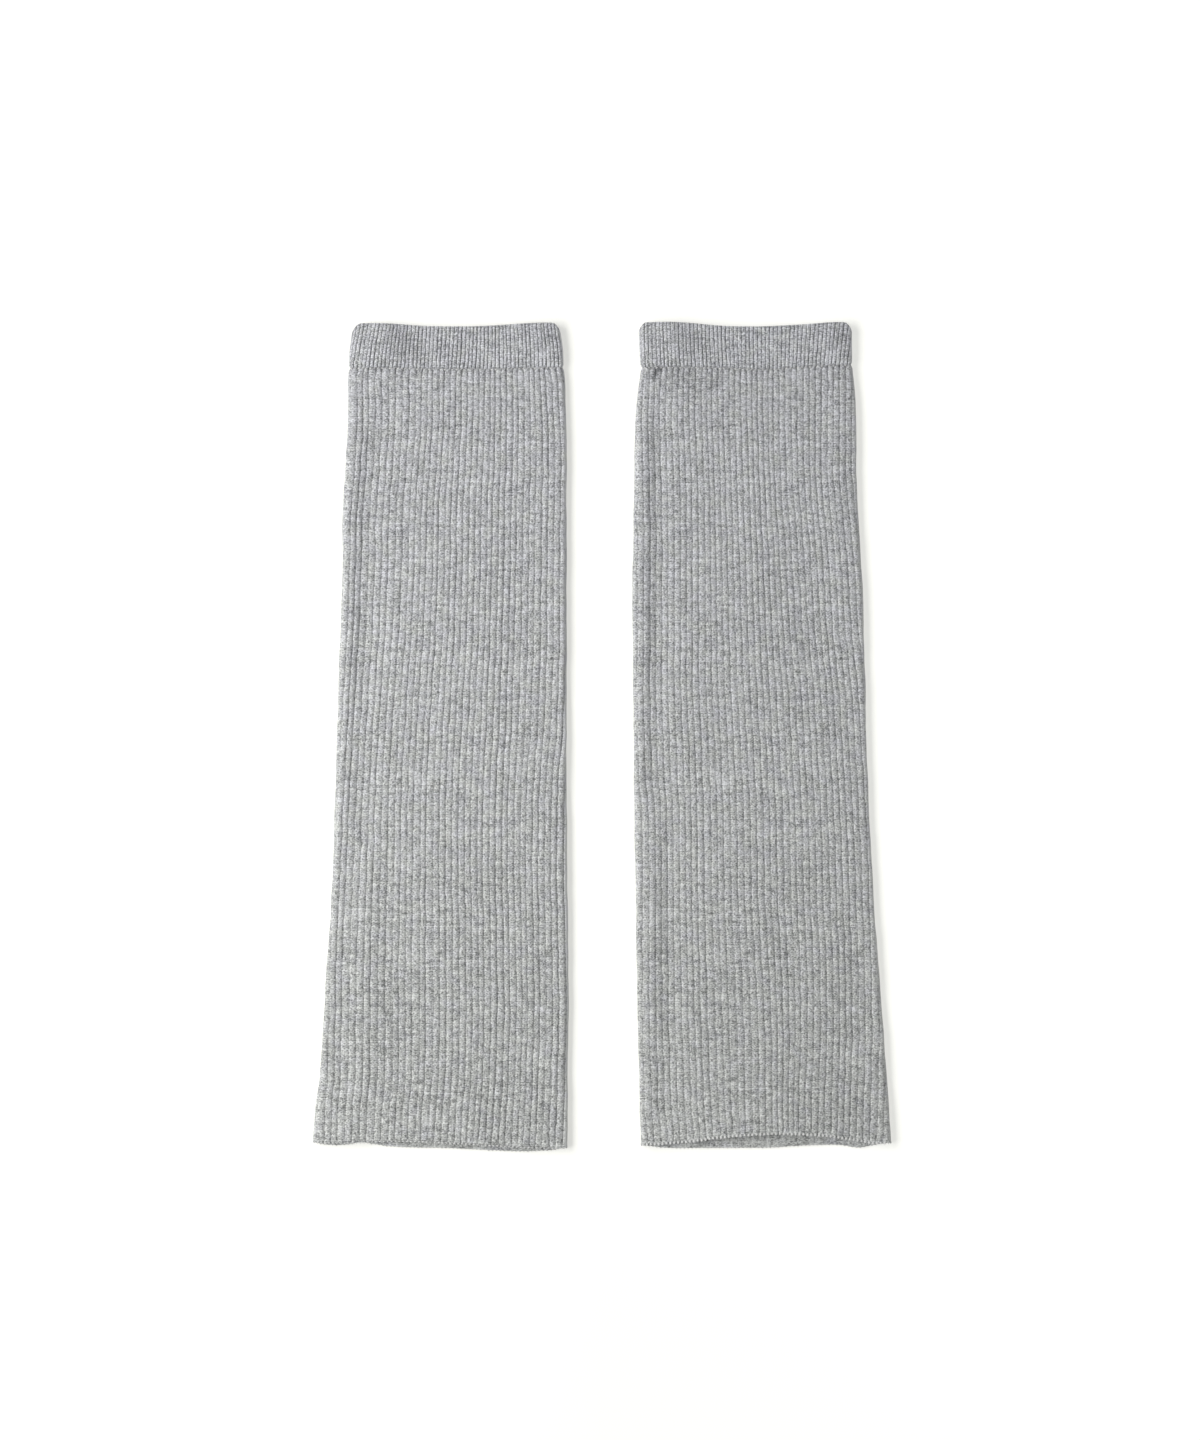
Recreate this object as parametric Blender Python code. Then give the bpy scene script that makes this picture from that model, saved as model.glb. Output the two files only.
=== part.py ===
"""Pair of knitted leg warmers, laid flat side by side.

Each warmer is two knitted pieces. The leg is a tube of wide rib that widens towards its hem,
knitted as one panel and linked up its inner side. The cuff is a band of fine rib, folded double
over its elastic and linked to the top of the leg. Laid flat, the front layer of each tube lies on
its back layer. The ribs stand up from the front layer and round the side folds, over a plain
inside, and the underside is pressed flat where it rests.

Metres, +Z up. The pair rests on z = 0 with its cuffs towards +Y, and the origin is the middle of
its footprint. The sizes below are in millimetres. Each warmer is modelled in a frame of its own,
whose origin is the middle of its cuff seam, with y along the leg and x across it.
"""

from collections import namedtuple
from math import cos, pi, sin, sqrt

import bmesh
import bpy

MM = 0.001

# ---- the knits ----------------------------------------------------------------------------------
# wall: thickness in a groove; rib: height of a rib over it; shoulder: where a rib reaches its full
# height, as a part of its width; ribs: count over the front and both side folds; under: thickness
# of the back layer; gap: room between the layers; strips: columns across the plain underside.
Knit = namedtuple("Knit", "wall rib shoulder ribs under gap strips")

LEG_KNIT = Knit(wall=1.7, rib=0.7, shoulder=0.20, ribs=40, under=2.2, gap=0.6, strips=20)
CUFF_KNIT = Knit(wall=2.4, rib=0.5, shoulder=0.28, ribs=60, under=2.7, gap=0.4, strips=12)

SEAM_GAP = 0.3          # between a cuff and its leg, along the linked seam
SEAM_REACH = 40.0       # how far down the leg the seam's waviness is felt
HEM_REACH = 60.0        # how far up the leg the hem's waviness is felt
MOUTH_REACH = 45.0      # how far up the leg the hem's lifted front is felt
CUFF_ROUND = 1.3        # depth of the rounded edge where the cuff band is folded over
CUFF_TURNS = (pi, pi * 2 / 3, pi / 3)   # angles of the sections round that edge, from inside
CUFF_SECTIONS = (1.0, 0.5, 0.0)         # heights of the sections below it, from top to seam
FOLD_EASE = 0.5         # part of a side fold's radius over which ribs rise from the underside

# ---- the legs -----------------------------------------------------------------------------------
# down: distance below the cuff seam; left, right: half widths each side of the centre line;
# puff: how far the front layer stands off the back one, besides the gap.
LegRow = namedtuple("LegRow", "down left right puff")

LEFT_LEG = (
    LegRow(down=0.0, left=54.5, right=55.0, puff=0.0),
    LegRow(down=6.0, left=55.0, right=55.5, puff=0.6),
    LegRow(down=16.0, left=55.0, right=56.0, puff=0.7),
    LegRow(down=36.0, left=55.5, right=56.5, puff=0.5),
    LegRow(down=67.0, left=57.5, right=56.5, puff=0.3),
    LegRow(down=108.0, left=58.0, right=56.5, puff=0.4),
    LegRow(down=160.0, left=60.0, right=56.5, puff=0.3),
    LegRow(down=215.0, left=61.5, right=56.5, puff=0.4),
    LegRow(down=271.0, left=63.5, right=57.0, puff=0.3),
    LegRow(down=320.0, left=67.0, right=57.5, puff=0.3),
    LegRow(down=360.0, left=69.5, right=57.0, puff=0.2),
    LegRow(down=381.0, left=72.0, right=57.0, puff=0.1),
    LegRow(down=393.5, left=73.0, right=57.0, puff=0.0),
)
RIGHT_LEG = (
    LegRow(down=0.0, left=53.5, right=54.5, puff=0.0),
    LegRow(down=6.0, left=54.5, right=55.0, puff=0.6),
    LegRow(down=16.0, left=55.5, right=56.0, puff=0.7),
    LegRow(down=36.0, left=56.5, right=56.5, puff=0.5),
    LegRow(down=67.0, left=57.0, right=57.0, puff=0.4),
    LegRow(down=108.0, left=58.0, right=59.5, puff=0.3),
    LegRow(down=160.0, left=57.5, right=61.0, puff=0.4),
    LegRow(down=215.0, left=57.0, right=62.5, puff=0.3),
    LegRow(down=271.0, left=56.0, right=65.5, puff=0.4),
    LegRow(down=320.0, left=55.5, right=69.0, puff=0.3),
    LegRow(down=360.0, left=54.5, right=72.0, puff=0.3),
    LegRow(down=381.0, left=54.0, right=73.5, puff=0.2),
    LegRow(down=393.5, left=53.5, right=74.0, puff=0.0),
)

# The open hem, from a leg's left side (0) to its right (1). front, back: how far each layer
# reaches below the last row; lift: how far the front layer is raised there.
HemPoint = namedtuple("HemPoint", "across front back lift")

LEFT_HEM = (
    HemPoint(across=0.00, front=0.3, back=0.3, lift=0.3),
    HemPoint(across=0.05, front=0.5, back=1.8, lift=1.0),
    HemPoint(across=0.12, front=0.6, back=2.0, lift=1.2),
    HemPoint(across=0.19, front=0.4, back=0.8, lift=0.3),
    HemPoint(across=0.28, front=-0.3, back=2.4, lift=0.6),
    HemPoint(across=0.55, front=0.7, back=3.7, lift=0.8),
    HemPoint(across=0.70, front=1.9, back=4.7, lift=0.7),
    HemPoint(across=0.85, front=3.0, back=5.2, lift=0.6),
    HemPoint(across=0.96, front=3.3, back=4.2, lift=0.2),
    HemPoint(across=1.00, front=3.0, back=3.2, lift=0.2),
)
RIGHT_HEM = (
    HemPoint(across=0.00, front=1.8, back=2.0, lift=0.2),
    HemPoint(across=0.09, front=2.4, back=3.4, lift=0.5),
    HemPoint(across=0.20, front=1.1, back=3.6, lift=1.4),
    HemPoint(across=0.33, front=-1.2, back=3.5, lift=2.6),
    HemPoint(across=0.50, front=-2.7, back=3.4, lift=3.2),
    HemPoint(across=0.68, front=-2.6, back=2.2, lift=2.8),
    HemPoint(across=0.80, front=-1.6, back=2.1, lift=1.8),
    HemPoint(across=0.87, front=-0.6, back=3.4, lift=1.0),
    HemPoint(across=0.93, front=0.9, back=2.0, lift=0.4),
    HemPoint(across=1.00, front=0.2, back=0.4, lift=0.2),
)

# ---- the cuffs ----------------------------------------------------------------------------------
# up: height as a part of the cuff's own; left, right: half widths, as for a leg.
CuffRow = namedtuple("CuffRow", "up left right")

LEFT_CUFF = (
    CuffRow(up=0.0, left=54.5, right=55.0),
    CuffRow(up=0.5, left=54.3, right=54.7),
    CuffRow(up=1.0, left=53.3, right=53.5),
)
RIGHT_CUFF = (
    CuffRow(up=0.0, left=53.6, right=54.2),
    CuffRow(up=0.5, left=54.2, right=54.2),
    CuffRow(up=1.0, left=54.5, right=54.2),
)

# The folded top edge, from side to side. top: its height over the seam's middle; seam: how far
# the linked seam runs above that middle there.
EdgePoint = namedtuple("EdgePoint", "across top seam")

LEFT_EDGE = (
    EdgePoint(across=0.00, top=23.3, seam=0.0),
    EdgePoint(across=0.12, top=23.5, seam=0.3),
    EdgePoint(across=0.38, top=21.9, seam=-0.3),
    EdgePoint(across=0.60, top=21.9, seam=-0.4),
    EdgePoint(across=0.92, top=23.7, seam=0.3),
    EdgePoint(across=1.00, top=23.7, seam=0.4),
)
RIGHT_EDGE = (
    EdgePoint(across=0.00, top=24.2, seam=0.4),
    EdgePoint(across=0.15, top=24.5, seam=0.6),
    EdgePoint(across=0.43, top=22.3, seam=0.0),
    EdgePoint(across=0.57, top=22.2, seam=-0.6),
    EdgePoint(across=0.78, top=23.3, seam=0.9),
    EdgePoint(across=0.94, top=24.4, seam=1.6),
    EdgePoint(across=1.00, top=24.2, seam=1.8),
)

# ---- the pair -----------------------------------------------------------------------------------
# centre: x of the warmer's centre line; corners: radius of its cuff's left and right top corners.
Warmer = namedtuple("Warmer", "name centre leg hem cuff edge corners")

SEAM_Y = 187.2          # y of both cuff seams
PAIR = (
    Warmer("left", -74.3, LEFT_LEG, LEFT_HEM, LEFT_CUFF, LEFT_EDGE, corners=(5.0, 4.0)),
    Warmer("right", 73.3, RIGHT_LEG, RIGHT_HEM, RIGHT_CUFF, RIGHT_EDGE, corners=(3.0, 3.6)),
)

# A spot of a section: x and z of the wall's outer point, of the inner point behind it, and how
# far it belongs to the front layer (1) rather than the back (0).
Spot = namedtuple("Spot", "x z inner_x inner_z front")


# ---- reading the tables -------------------------------------------------------------------------
def eased(part):
    """A part from 0 to 1, with a level start and end."""
    part = min(1.0, max(0.0, part))
    return part * part * (3.0 - 2.0 * part)


def reading(rows, place, column):
    """A column's value at a place between a table's rows, eased from each row to the next."""
    for low, high in zip(rows, rows[1:]):
        if place <= high[0]:
            part = eased((place - low[0]) / (high[0] - low[0]))
            start = getattr(low, column)
            return start + (getattr(high, column) - start) * part
    return getattr(rows[-1], column)


def blend(back, front, share):
    """A value between the back layer's and the front layer's."""
    return back + (front - back) * share


# ---- one section of a flattened tube ------------------------------------------------------------
def fold_radius(knit):
    """Radius of the side fold, measured to the bottom of the ribs' grooves."""
    return (knit.under + knit.gap + knit.wall) / 2


def fold_spot(knit, centre, angle, height):
    """A spot on a side fold: the fold turns about its centre, from the underside to the front."""
    radius = fold_radius(knit)
    rise = 1.0 + sin(angle)
    reach = radius + height * min(1.0, rise / FOLD_EASE)
    inner = knit.gap / 2
    return Spot(
        x=centre + reach * cos(angle),
        z=radius + reach * sin(angle),
        inner_x=centre + inner * cos(angle),
        inner_z=knit.under + inner + inner * sin(angle),
        front=rise / 2,
    )


def front_spot(knit, x, height, lift):
    """A spot on the front layer, raised by the lift over the back layer."""
    inside = knit.under + knit.gap + lift
    return Spot(x=x, z=inside + knit.wall + height, inner_x=x, inner_z=inside, front=1.0)


def section(knit, left, right, lift_at):
    """The columns of a section: three spots for each rib, from under the left fold, over the
    front and under the right fold, then one spot for each strip of the underside."""
    radius = fold_radius(knit)
    start = -left + knit.rib + radius
    end = right - knit.rib - radius
    turn = pi * radius
    girth = 2 * turn + end - start
    rib_shape = ((0.0, 0.0), (knit.shoulder, knit.rib), (1.0 - knit.shoulder, knit.rib))
    columns = []
    for rib in range(knit.ribs):
        column = []
        for phase, height in rib_shape:
            along = girth * (rib + phase) / knit.ribs
            if along < turn:
                column.append(fold_spot(knit, start, -pi / 2 - along / radius, height))
            elif along > girth - turn:
                column.append(fold_spot(knit, end, (girth - along) / radius - pi / 2, height))
            else:
                x = start + along - turn
                middle = 2 * (x - start) / (end - start) - 1
                column.append(front_spot(knit, x, height, lift_at(x) * (1 - middle ** 4)))
        columns.append(column)
    for strip in range(knit.strips):
        x = end + (start - end) * strip / knit.strips
        columns.append([Spot(x=x, z=0.0, inner_x=x, inner_z=knit.under, front=0.0)])
    return columns


# ---- the mesh of a tube -------------------------------------------------------------------------
def outer_ring(columns, y_at):
    """A section's outer points, by column, each with its own y."""
    return [[(s.x, y_at(s), s.z) for s in column] for column in columns]


def inner_ring(columns, y_at):
    """A section's inner points, one for each column."""
    return [[(column[0].inner_x, y_at(column[0]), column[0].inner_z)] for column in columns]


def rounded_ring(columns, y_at, turn, depth):
    """A section part of the way round an edge that joins the outer points to the inner ones."""
    share = (1 + cos(turn)) / 2
    return [
        [
            (
                blend(s.inner_x, s.x, share),
                y_at(s) + depth * sin(turn),
                blend(s.inner_z, s.z, share),
            )
            for s in column
        ]
        for column in columns
    ]


def add_ring(mesh, ring):
    """Add a ring's points to the mesh, kept by column."""
    return [
        [mesh.verts.new((x * MM, y * MM, z * MM)) for x, y, z in column]
        for column in ring
    ]


def add_band(mesh, upper, lower, outward):
    """Skin two rings that have the same points in each column."""
    above = [vert for column in upper for vert in column]
    below = [vert for column in lower for vert in column]
    for i, vert in enumerate(above):
        j = (i + 1) % len(above)
        corners = (vert, below[i], below[j], above[j])
        mesh.faces.new(corners if outward else corners[::-1])


def add_end(mesh, outer, inner, facing_up):
    """Close one end of the wall, a face for each column between the outer and inner rings."""
    for i, column in enumerate(outer):
        j = (i + 1) % len(outer)
        corners = [*column, outer[j][0], inner[j][0], inner[i][0]]
        mesh.faces.new(corners if facing_up else corners[::-1])


def tube_object(name, outer_rings, inner_rings, material, parent):
    """A closed wall from rings that run down the tube, first along its outside."""
    mesh = bmesh.new()
    outer = [add_ring(mesh, ring) for ring in outer_rings]
    inner = [add_ring(mesh, ring) for ring in inner_rings]
    for upper, lower in zip(outer, outer[1:]):
        add_band(mesh, upper, lower, outward=True)
    for upper, lower in zip(inner, inner[1:]):
        add_band(mesh, upper, lower, outward=False)
    add_end(mesh, outer[0], inner[0], facing_up=True)
    add_end(mesh, outer[-1], inner[-1], facing_up=False)
    data = bpy.data.meshes.new(name)
    mesh.to_mesh(data)
    mesh.free()
    data.materials.append(material)
    piece = bpy.data.objects.new(name, data)
    bpy.context.collection.objects.link(piece)
    piece.parent = parent
    return piece


# ---- the two pieces of a warmer -----------------------------------------------------------------
def seam_line(warmer, x):
    """y of the linked seam at x."""
    widest = warmer.leg[0]
    across = (x + widest.left) / (widest.left + widest.right)
    return reading(warmer.edge, across, "seam")


def make_leg(warmer, material, parent):
    """The leg tube, from the seam down to the hem."""
    length = warmer.leg[-1].down
    outer_rings = []
    inner_rings = []
    for row in warmer.leg:
        near_seam = 1 - eased(row.down / SEAM_REACH)
        near_hem = eased(1 - (length - row.down) / HEM_REACH)
        near_mouth = eased(1 - (length - row.down) / MOUTH_REACH)

        def across(x):
            return (x + row.left) / (row.left + row.right)

        def lift_at(x):
            return row.puff + near_mouth * reading(warmer.hem, across(x), "lift")

        def y_at(spot):
            back = reading(warmer.hem, across(spot.x), "back")
            front = reading(warmer.hem, across(spot.x), "front")
            seam = (seam_line(warmer, spot.x) - SEAM_GAP / 2) * near_seam
            return seam - row.down - near_hem * blend(back, front, spot.front)

        columns = section(LEG_KNIT, row.left, row.right, lift_at)
        outer_rings.append(outer_ring(columns, y_at))
        inner_rings.append(inner_ring(columns, y_at))
    return tube_object(f"leg_{warmer.name}", outer_rings, inner_rings, material, parent)


def corner_drop(distance, radius):
    """How far a rounded corner lies below the edge, at a distance in from the side."""
    if distance >= radius:
        return 0.0
    return radius - sqrt(max(0.0, radius ** 2 - (radius - distance) ** 2))


def make_cuff(warmer, material, parent):
    """The cuff band: round its folded top edge and down to the seam. Its inside is plain from
    that edge to the seam, so the seam's ring is the only one there."""
    outer_rings = []
    for up in CUFF_SECTIONS:
        left = reading(warmer.cuff, up, "left")
        right = reading(warmer.cuff, up, "right")

        def y_at(spot):
            top = reading(warmer.edge, (spot.x + left) / (left + right), "top") - CUFF_ROUND
            top -= corner_drop(spot.x + left, warmer.corners[0])
            top -= corner_drop(right - spot.x, warmer.corners[1])
            return blend(seam_line(warmer, spot.x) + SEAM_GAP / 2, top, up)

        columns = section(CUFF_KNIT, left, right, lambda x: 0.0)
        if not outer_rings:
            for turn in CUFF_TURNS:
                outer_rings.append(rounded_ring(columns, y_at, turn, CUFF_ROUND))
        outer_rings.append(outer_ring(columns, y_at))
    inner_rings = [inner_ring(columns, y_at)]
    return tube_object(f"cuff_{warmer.name}", outer_rings, inner_rings, material, parent)


# ---- materials and assembly ---------------------------------------------------------------------
def knit_material(name, grey):
    """Matt melange yarn of one shade of grey."""
    material = bpy.data.materials.new(name)
    material.use_nodes = True
    shader = material.node_tree.nodes["Principled BSDF"]
    shader.inputs["Base Color"].default_value = (grey, grey * 1.01, grey * 1.02, 1.0)
    shader.inputs["Roughness"].default_value = 0.9
    shader.inputs["Metallic"].default_value = 0.0
    return material


def clear_scene():
    """Remove whatever the scene holds at the start."""
    for item in list(bpy.data.objects):
        bpy.data.objects.remove(item, do_unlink=True)


def main():
    clear_scene()
    wide_rib = knit_material("wide_rib_knit", 0.43)
    fine_rib = knit_material("fine_rib_knit", 0.40)
    for warmer in PAIR:
        seam = bpy.data.objects.new(f"seam_{warmer.name}", None)
        bpy.context.collection.objects.link(seam)
        seam.location = (warmer.centre * MM, SEAM_Y * MM, 0.0)
        make_leg(warmer, wide_rib, seam)
        make_cuff(warmer, fine_rib, seam)
    bpy.context.view_layer.update()


main()
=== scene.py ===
# %% [markdown]
# # A pair of rib-knit leg warmers, laid flat
#
# Each warmer is a knitted tube: a leg of wide rib that widens towards an open hem, and a cuff of
# fine rib, folded double over its elastic and linked to the top of the leg. This lesson models
# the knit as geometry, rib by rib, and leaves only the single stitches and the yarn's flecks to
# the material.
#
# They fix the size and the place of every piece, so the box around them is kept before anything
# is added.

from collections import namedtuple
from math import cos, pi, radians, sin

import bpy
import numpy as np
from mathutils import Matrix, Vector


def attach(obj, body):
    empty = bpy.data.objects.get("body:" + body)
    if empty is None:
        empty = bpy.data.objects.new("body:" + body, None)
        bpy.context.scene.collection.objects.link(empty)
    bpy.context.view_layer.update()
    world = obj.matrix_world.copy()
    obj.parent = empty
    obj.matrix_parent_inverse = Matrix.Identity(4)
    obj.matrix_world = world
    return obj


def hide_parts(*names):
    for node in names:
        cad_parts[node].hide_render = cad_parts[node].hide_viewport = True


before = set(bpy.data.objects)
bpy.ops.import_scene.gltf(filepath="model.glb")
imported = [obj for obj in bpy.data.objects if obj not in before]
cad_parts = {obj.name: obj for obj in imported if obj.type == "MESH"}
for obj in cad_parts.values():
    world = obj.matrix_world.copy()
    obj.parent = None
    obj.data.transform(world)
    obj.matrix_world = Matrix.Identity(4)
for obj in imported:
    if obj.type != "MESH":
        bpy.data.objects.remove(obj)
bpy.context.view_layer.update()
print("frame nodes:", ", ".join(sorted(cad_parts)))

# %% [markdown]
# ## Sizes of the two knits
#
# A rib is a group of stitches that stands forward, and the groove between two ribs is a stitch
# that falls back. The legs' ribs are two stitches wide and 3 to 3.5 mm apart. The cuffs' ribs are
# one stitch wide and 2 mm apart, pulled close by the elastic. All sizes are in millimetres, and
# each warmer has a frame of its own: x across it from its centre line, y down from its cuff seam.
#
# A knit's `wall` is its thickness in a groove and `rib` is how far a rib stands over that.
# `under` is the thickness of the back layer and `gap` the room between the layers. `ribs` are
# counted over the front and both side folds, `under_ribs` over the rest of the back.
# `sharp` shapes a rib: the higher it is, the flatter the crest and the narrower the groove.
# `wales` are the stitches across a rib, and a `COURSE` is the height of one stitch. The ribs next
# to the side folds have as many columns of points as the front's, because they can come round.

# %% Knit sizes
MM = 0.001
COURSE = 1.25

Knit = namedtuple("Knit", "wall rib under gap ribs under_ribs phases sharp carve wales")

LEG_KNIT = Knit(
    wall=1.7, rib=0.7, under=2.2, gap=0.6, ribs=39, under_ribs=34,
    phases=(0.0, 0.07, 0.17, 0.33, 0.5, 0.67, 0.83, 0.93), sharp=2.7, carve=0.5,
    wales=2,
)
CUFF_KNIT = Knit(
    wall=2.4, rib=0.5, under=2.7, gap=0.4, ribs=60, under_ribs=52,
    phases=(0.0, 0.11, 0.28, 0.5, 0.72, 0.89), sharp=2.8, carve=0.4, wales=1,
)
UNDER_PHASES = (0.0, 0.2, 0.5, 0.8)     # the underside's ribs are pressed, so four points do
ROUND_THE_FOLD = 3      # ribs of the underside that can come round a side fold
GROOVE_LINE = 7.0       # how narrow the painted shade line in a groove is

SEAM_Y = 187.2          # y of both cuff seams
SEAM_GAP = 0.3          # between a cuff and its leg
SEAM_REACH = 40.0       # how far down the leg the seam's waviness is felt
HEM_REACH = 60.0        # how far up the leg the hem's waviness is felt
MOUTH_REACH = 45.0      # how far up the leg the hem's lifted front is felt
FOLD_EASE = 0.5         # part of a side fold's radius over which ribs rise from the underside
CUFF_ROUND = 1.3        # depth of the rounded edge where the cuff is folded over

for name, knit in (("leg", LEG_KNIT), ("cuff", CUFF_KNIT)):
    print(f"ribs round a {name}: {knit.ribs} in front and {knit.under_ribs} underneath")

# %% [markdown]
# ## The outline, as short tables
#
# A knitter works from a chart, and so does this script. Each table starts with the names of its
# columns and has a row for each place where the form changes. A leg's table gives its two half
# widths on its way down, and `puff`, which is how far the front layer stands off the back one.

# %% Tables of the legs
def table(columns, *rows):
    """A table whose rows give each value by the name of its column."""
    row_kind = namedtuple("Row", columns)
    return tuple(row_kind(*row) for row in rows)


LEFT_LEG = table(
    "down   left  right puff",
    (0.0,   54.5, 55.0, 0.0),
    (6.0,   55.0, 55.5, 0.6),
    (16.0,  55.0, 56.0, 0.7),
    (36.0,  55.5, 56.5, 0.5),
    (67.0,  57.5, 56.5, 0.3),
    (108.0, 58.0, 56.5, 0.4),
    (160.0, 60.0, 56.5, 0.3),
    (215.0, 61.5, 56.5, 0.4),
    (271.0, 63.5, 57.0, 0.3),
    (320.0, 67.0, 57.5, 0.3),
    (360.0, 69.5, 57.0, 0.2),
    (381.0, 72.0, 57.0, 0.1),
    (393.5, 73.0, 57.0, 0.0),
)
RIGHT_LEG = table(
    "down   left  right puff",
    (0.0,   53.5, 54.5, 0.0),
    (6.0,   54.5, 55.0, 0.6),
    (16.0,  55.5, 56.0, 0.7),
    (36.0,  56.5, 56.5, 0.5),
    (67.0,  57.0, 57.0, 0.4),
    (108.0, 58.0, 59.5, 0.3),
    (160.0, 57.5, 61.0, 0.4),
    (215.0, 57.0, 62.5, 0.3),
    (271.0, 56.0, 65.5, 0.4),
    (320.0, 55.5, 69.0, 0.3),
    (360.0, 54.5, 72.0, 0.3),
    (381.0, 54.0, 73.5, 0.2),
    (393.5, 53.5, 74.0, 0.0),
)
LEG_LENGTH = LEFT_LEG[-1].down
print("leg length from seam to hem:", LEG_LENGTH, "mm")

# %% [markdown]
# ## The sway of the ribs
#
# The ribs of a laid leg don't run straight: the tube has turned a little under its own folds.
# These tables say how far the ribs have run to the right, at five places across the leg.

# %% Tables of the sway
LEFT_SWAY = table(
    "down   left  near_left middle near_right right",
    (0.0,   2.8,  5.5,      4.8,   3.2,       1.0),
    (24.0,  3.0,  5.1,      4.1,   2.7,       1.8),
    (58.0,  2.8,  4.2,      3.3,   2.4,       2.3),
    (93.0,  1.8,  3.4,      2.9,   2.0,       1.8),
    (145.0, 1.3,  2.2,      2.1,   1.2,       1.7),
    (180.0, 0.2,  0.5,      0.6,   0.4,       0.6),
    (215.0, -0.9, -0.7,     -0.5,  -1.0,      -1.9),
    (250.0, -1.6, -0.6,     -0.5,  -1.3,      -2.7),
    (284.0, -1.7, -0.2,     0.6,   -0.4,      -2.5),
    (319.0, -0.2, 1.2,      1.9,   0.6,       -2.0),
    (353.0, 1.0,  2.9,      2.8,   0.9,       -2.0),
    (393.5, 3.0,  3.6,      2.4,   -0.2,      -3.2),
)
RIGHT_SWAY = table(
    "down   left  near_left middle near_right right",
    (0.0,   -2.8, -3.2,     -4.3,  -5.6,      -4.6),
    (24.0,  -1.8, -2.4,     -3.8,  -6.2,      -6.3),
    (50.0,  -0.8, -0.9,     -2.8,  -5.6,      -6.6),
    (93.0,  0.5,  -0.2,     -1.9,  -4.0,      -4.7),
    (128.0, 0.5,  -0.4,     -1.6,  -3.2,      -4.1),
    (163.0, -0.2, -0.9,     -1.0,  -1.0,      -1.4),
    (197.0, 0.2,  0.1,      0.4,   0.3,       0.0),
    (232.0, 1.6,  0.3,      1.0,   1.1,       0.7),
    (267.0, 1.1,  -0.5,     0.1,   0.1,       0.2),
    (301.0, 0.6,  -0.5,     0.7,   -0.1,      -0.9),
    (336.0, 0.1,  -0.8,     0.7,   -1.7,      -2.9),
    (370.0, 0.0,  -1.0,     -0.7,  -4.8,      -6.0),
    (393.5, 0.8,  -0.6,     -1.6,  -6.6,      -8.3),
)
print("the right leg's ribs run", -RIGHT_SWAY[-1].right, "mm to the left at the hem's right corner")

# %% [markdown]
# ## The open hem
#
# The hem is wavy, and its two layers part. `front` and `back` say how far down each of them
# reaches, and `lift` how far the front layer stands off the back one there. Places `across` a
# warmer go from its left side (0) to its right (1).

# %% Tables of the hem
LEFT_HEM = table(
    "across front back lift",
    (0.00,  0.1,  0.2, 0.3),
    (0.05,  0.2,  1.4, 1.0),
    (0.12,  0.3,  1.6, 1.2),
    (0.19,  0.1,  0.5, 0.3),
    (0.28,  -0.6, 2.0, 0.6),
    (0.55,  0.3,  3.3, 0.8),
    (0.70,  1.5,  4.3, 0.7),
    (0.85,  2.6,  4.8, 0.6),
    (0.96,  2.9,  3.8, 0.2),
    (1.00,  2.7,  2.9, 0.2),
)
RIGHT_HEM = table(
    "across front back lift",
    (0.00,  1.4,  1.6, 0.2),
    (0.09,  0.8,  3.0, 0.5),
    (0.20,  -0.5, 3.2, 1.4),
    (0.33,  -2.7, 3.1, 2.6),
    (0.50,  -4.3, 3.0, 3.2),
    (0.68,  -4.0, 1.8, 2.8),
    (0.80,  -2.3, 1.7, 1.8),
    (0.87,  -0.9, 3.0, 1.0),
    (0.93,  0.7,  1.7, 0.4),
    (1.00,  0.2,  0.4, 0.2),
)
print("the right hem's front is lifted by up to", max(row.lift for row in RIGHT_HEM), "mm")

# %% [markdown]
# ## The cuff
#
# A cuff has its half widths at its seam (0), half way `up` it and at its folded edge (1), the
# waves of that edge (`top`) and of its `seam`, both measured up from the level of the seams, and
# `lean`, which is how far its ribs lean to the right on their way up.

# %% Tables of the cuff
LEFT_CUFF = table(
    "up   left  right",
    (0.0, 54.5, 55.0),
    (0.5, 54.3, 54.7),
    (1.0, 53.3, 53.5),
)
RIGHT_CUFF = table(
    "up   left  right",
    (0.0, 53.6, 54.2),
    (0.5, 54.2, 54.2),
    (1.0, 54.5, 54.2),
)
LEFT_EDGE = table(
    "across top   seam",
    (0.00,  22.9, 0.0),
    (0.12,  23.1, 0.3),
    (0.38,  21.5, -0.3),
    (0.60,  21.5, -0.4),
    (0.92,  23.3, 0.3),
    (1.00,  23.3, 0.4),
)
RIGHT_EDGE = table(
    "across top   seam",
    (0.00,  23.4, 0.4),
    (0.15,  23.7, 0.6),
    (0.43,  21.5, 0.0),
    (0.57,  21.4, -0.6),
    (0.78,  22.5, 0.9),
    (0.94,  23.6, 1.6),
    (1.00,  23.4, 1.8),
)
LEFT_LEAN = table(
    "across lean",
    (0.00,  2.6),
    (0.15,  2.4),
    (0.35,  0.9),
    (0.55,  1.5),
    (0.70,  0.4),
    (0.88,  -0.2),
    (1.00,  -1.8),
)
RIGHT_LEAN = table(
    "across lean",
    (0.00,  0.6),
    (0.30,  -0.4),
    (0.55,  0.2),
    (0.80,  1.6),
    (0.92,  2.2),
    (1.00,  1.2),
)
print("cuff height:", min(row.top for row in LEFT_EDGE), "to", max(row.top for row in LEFT_EDGE), "mm")

# %% [markdown]
# ## The pair
#
# A warmer's `centre` is the x of its centre line, `corners` are the radii of its cuff's two
# corners, `inner_side` is the side that its linked seam is on, and `pressed` is the part of its
# grooves' depth that lying under others has taken away.

# %% The pair
Warmer = namedtuple("Warmer", "name centre leg sway hem cuff edge lean corners inner_side pressed")

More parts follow.
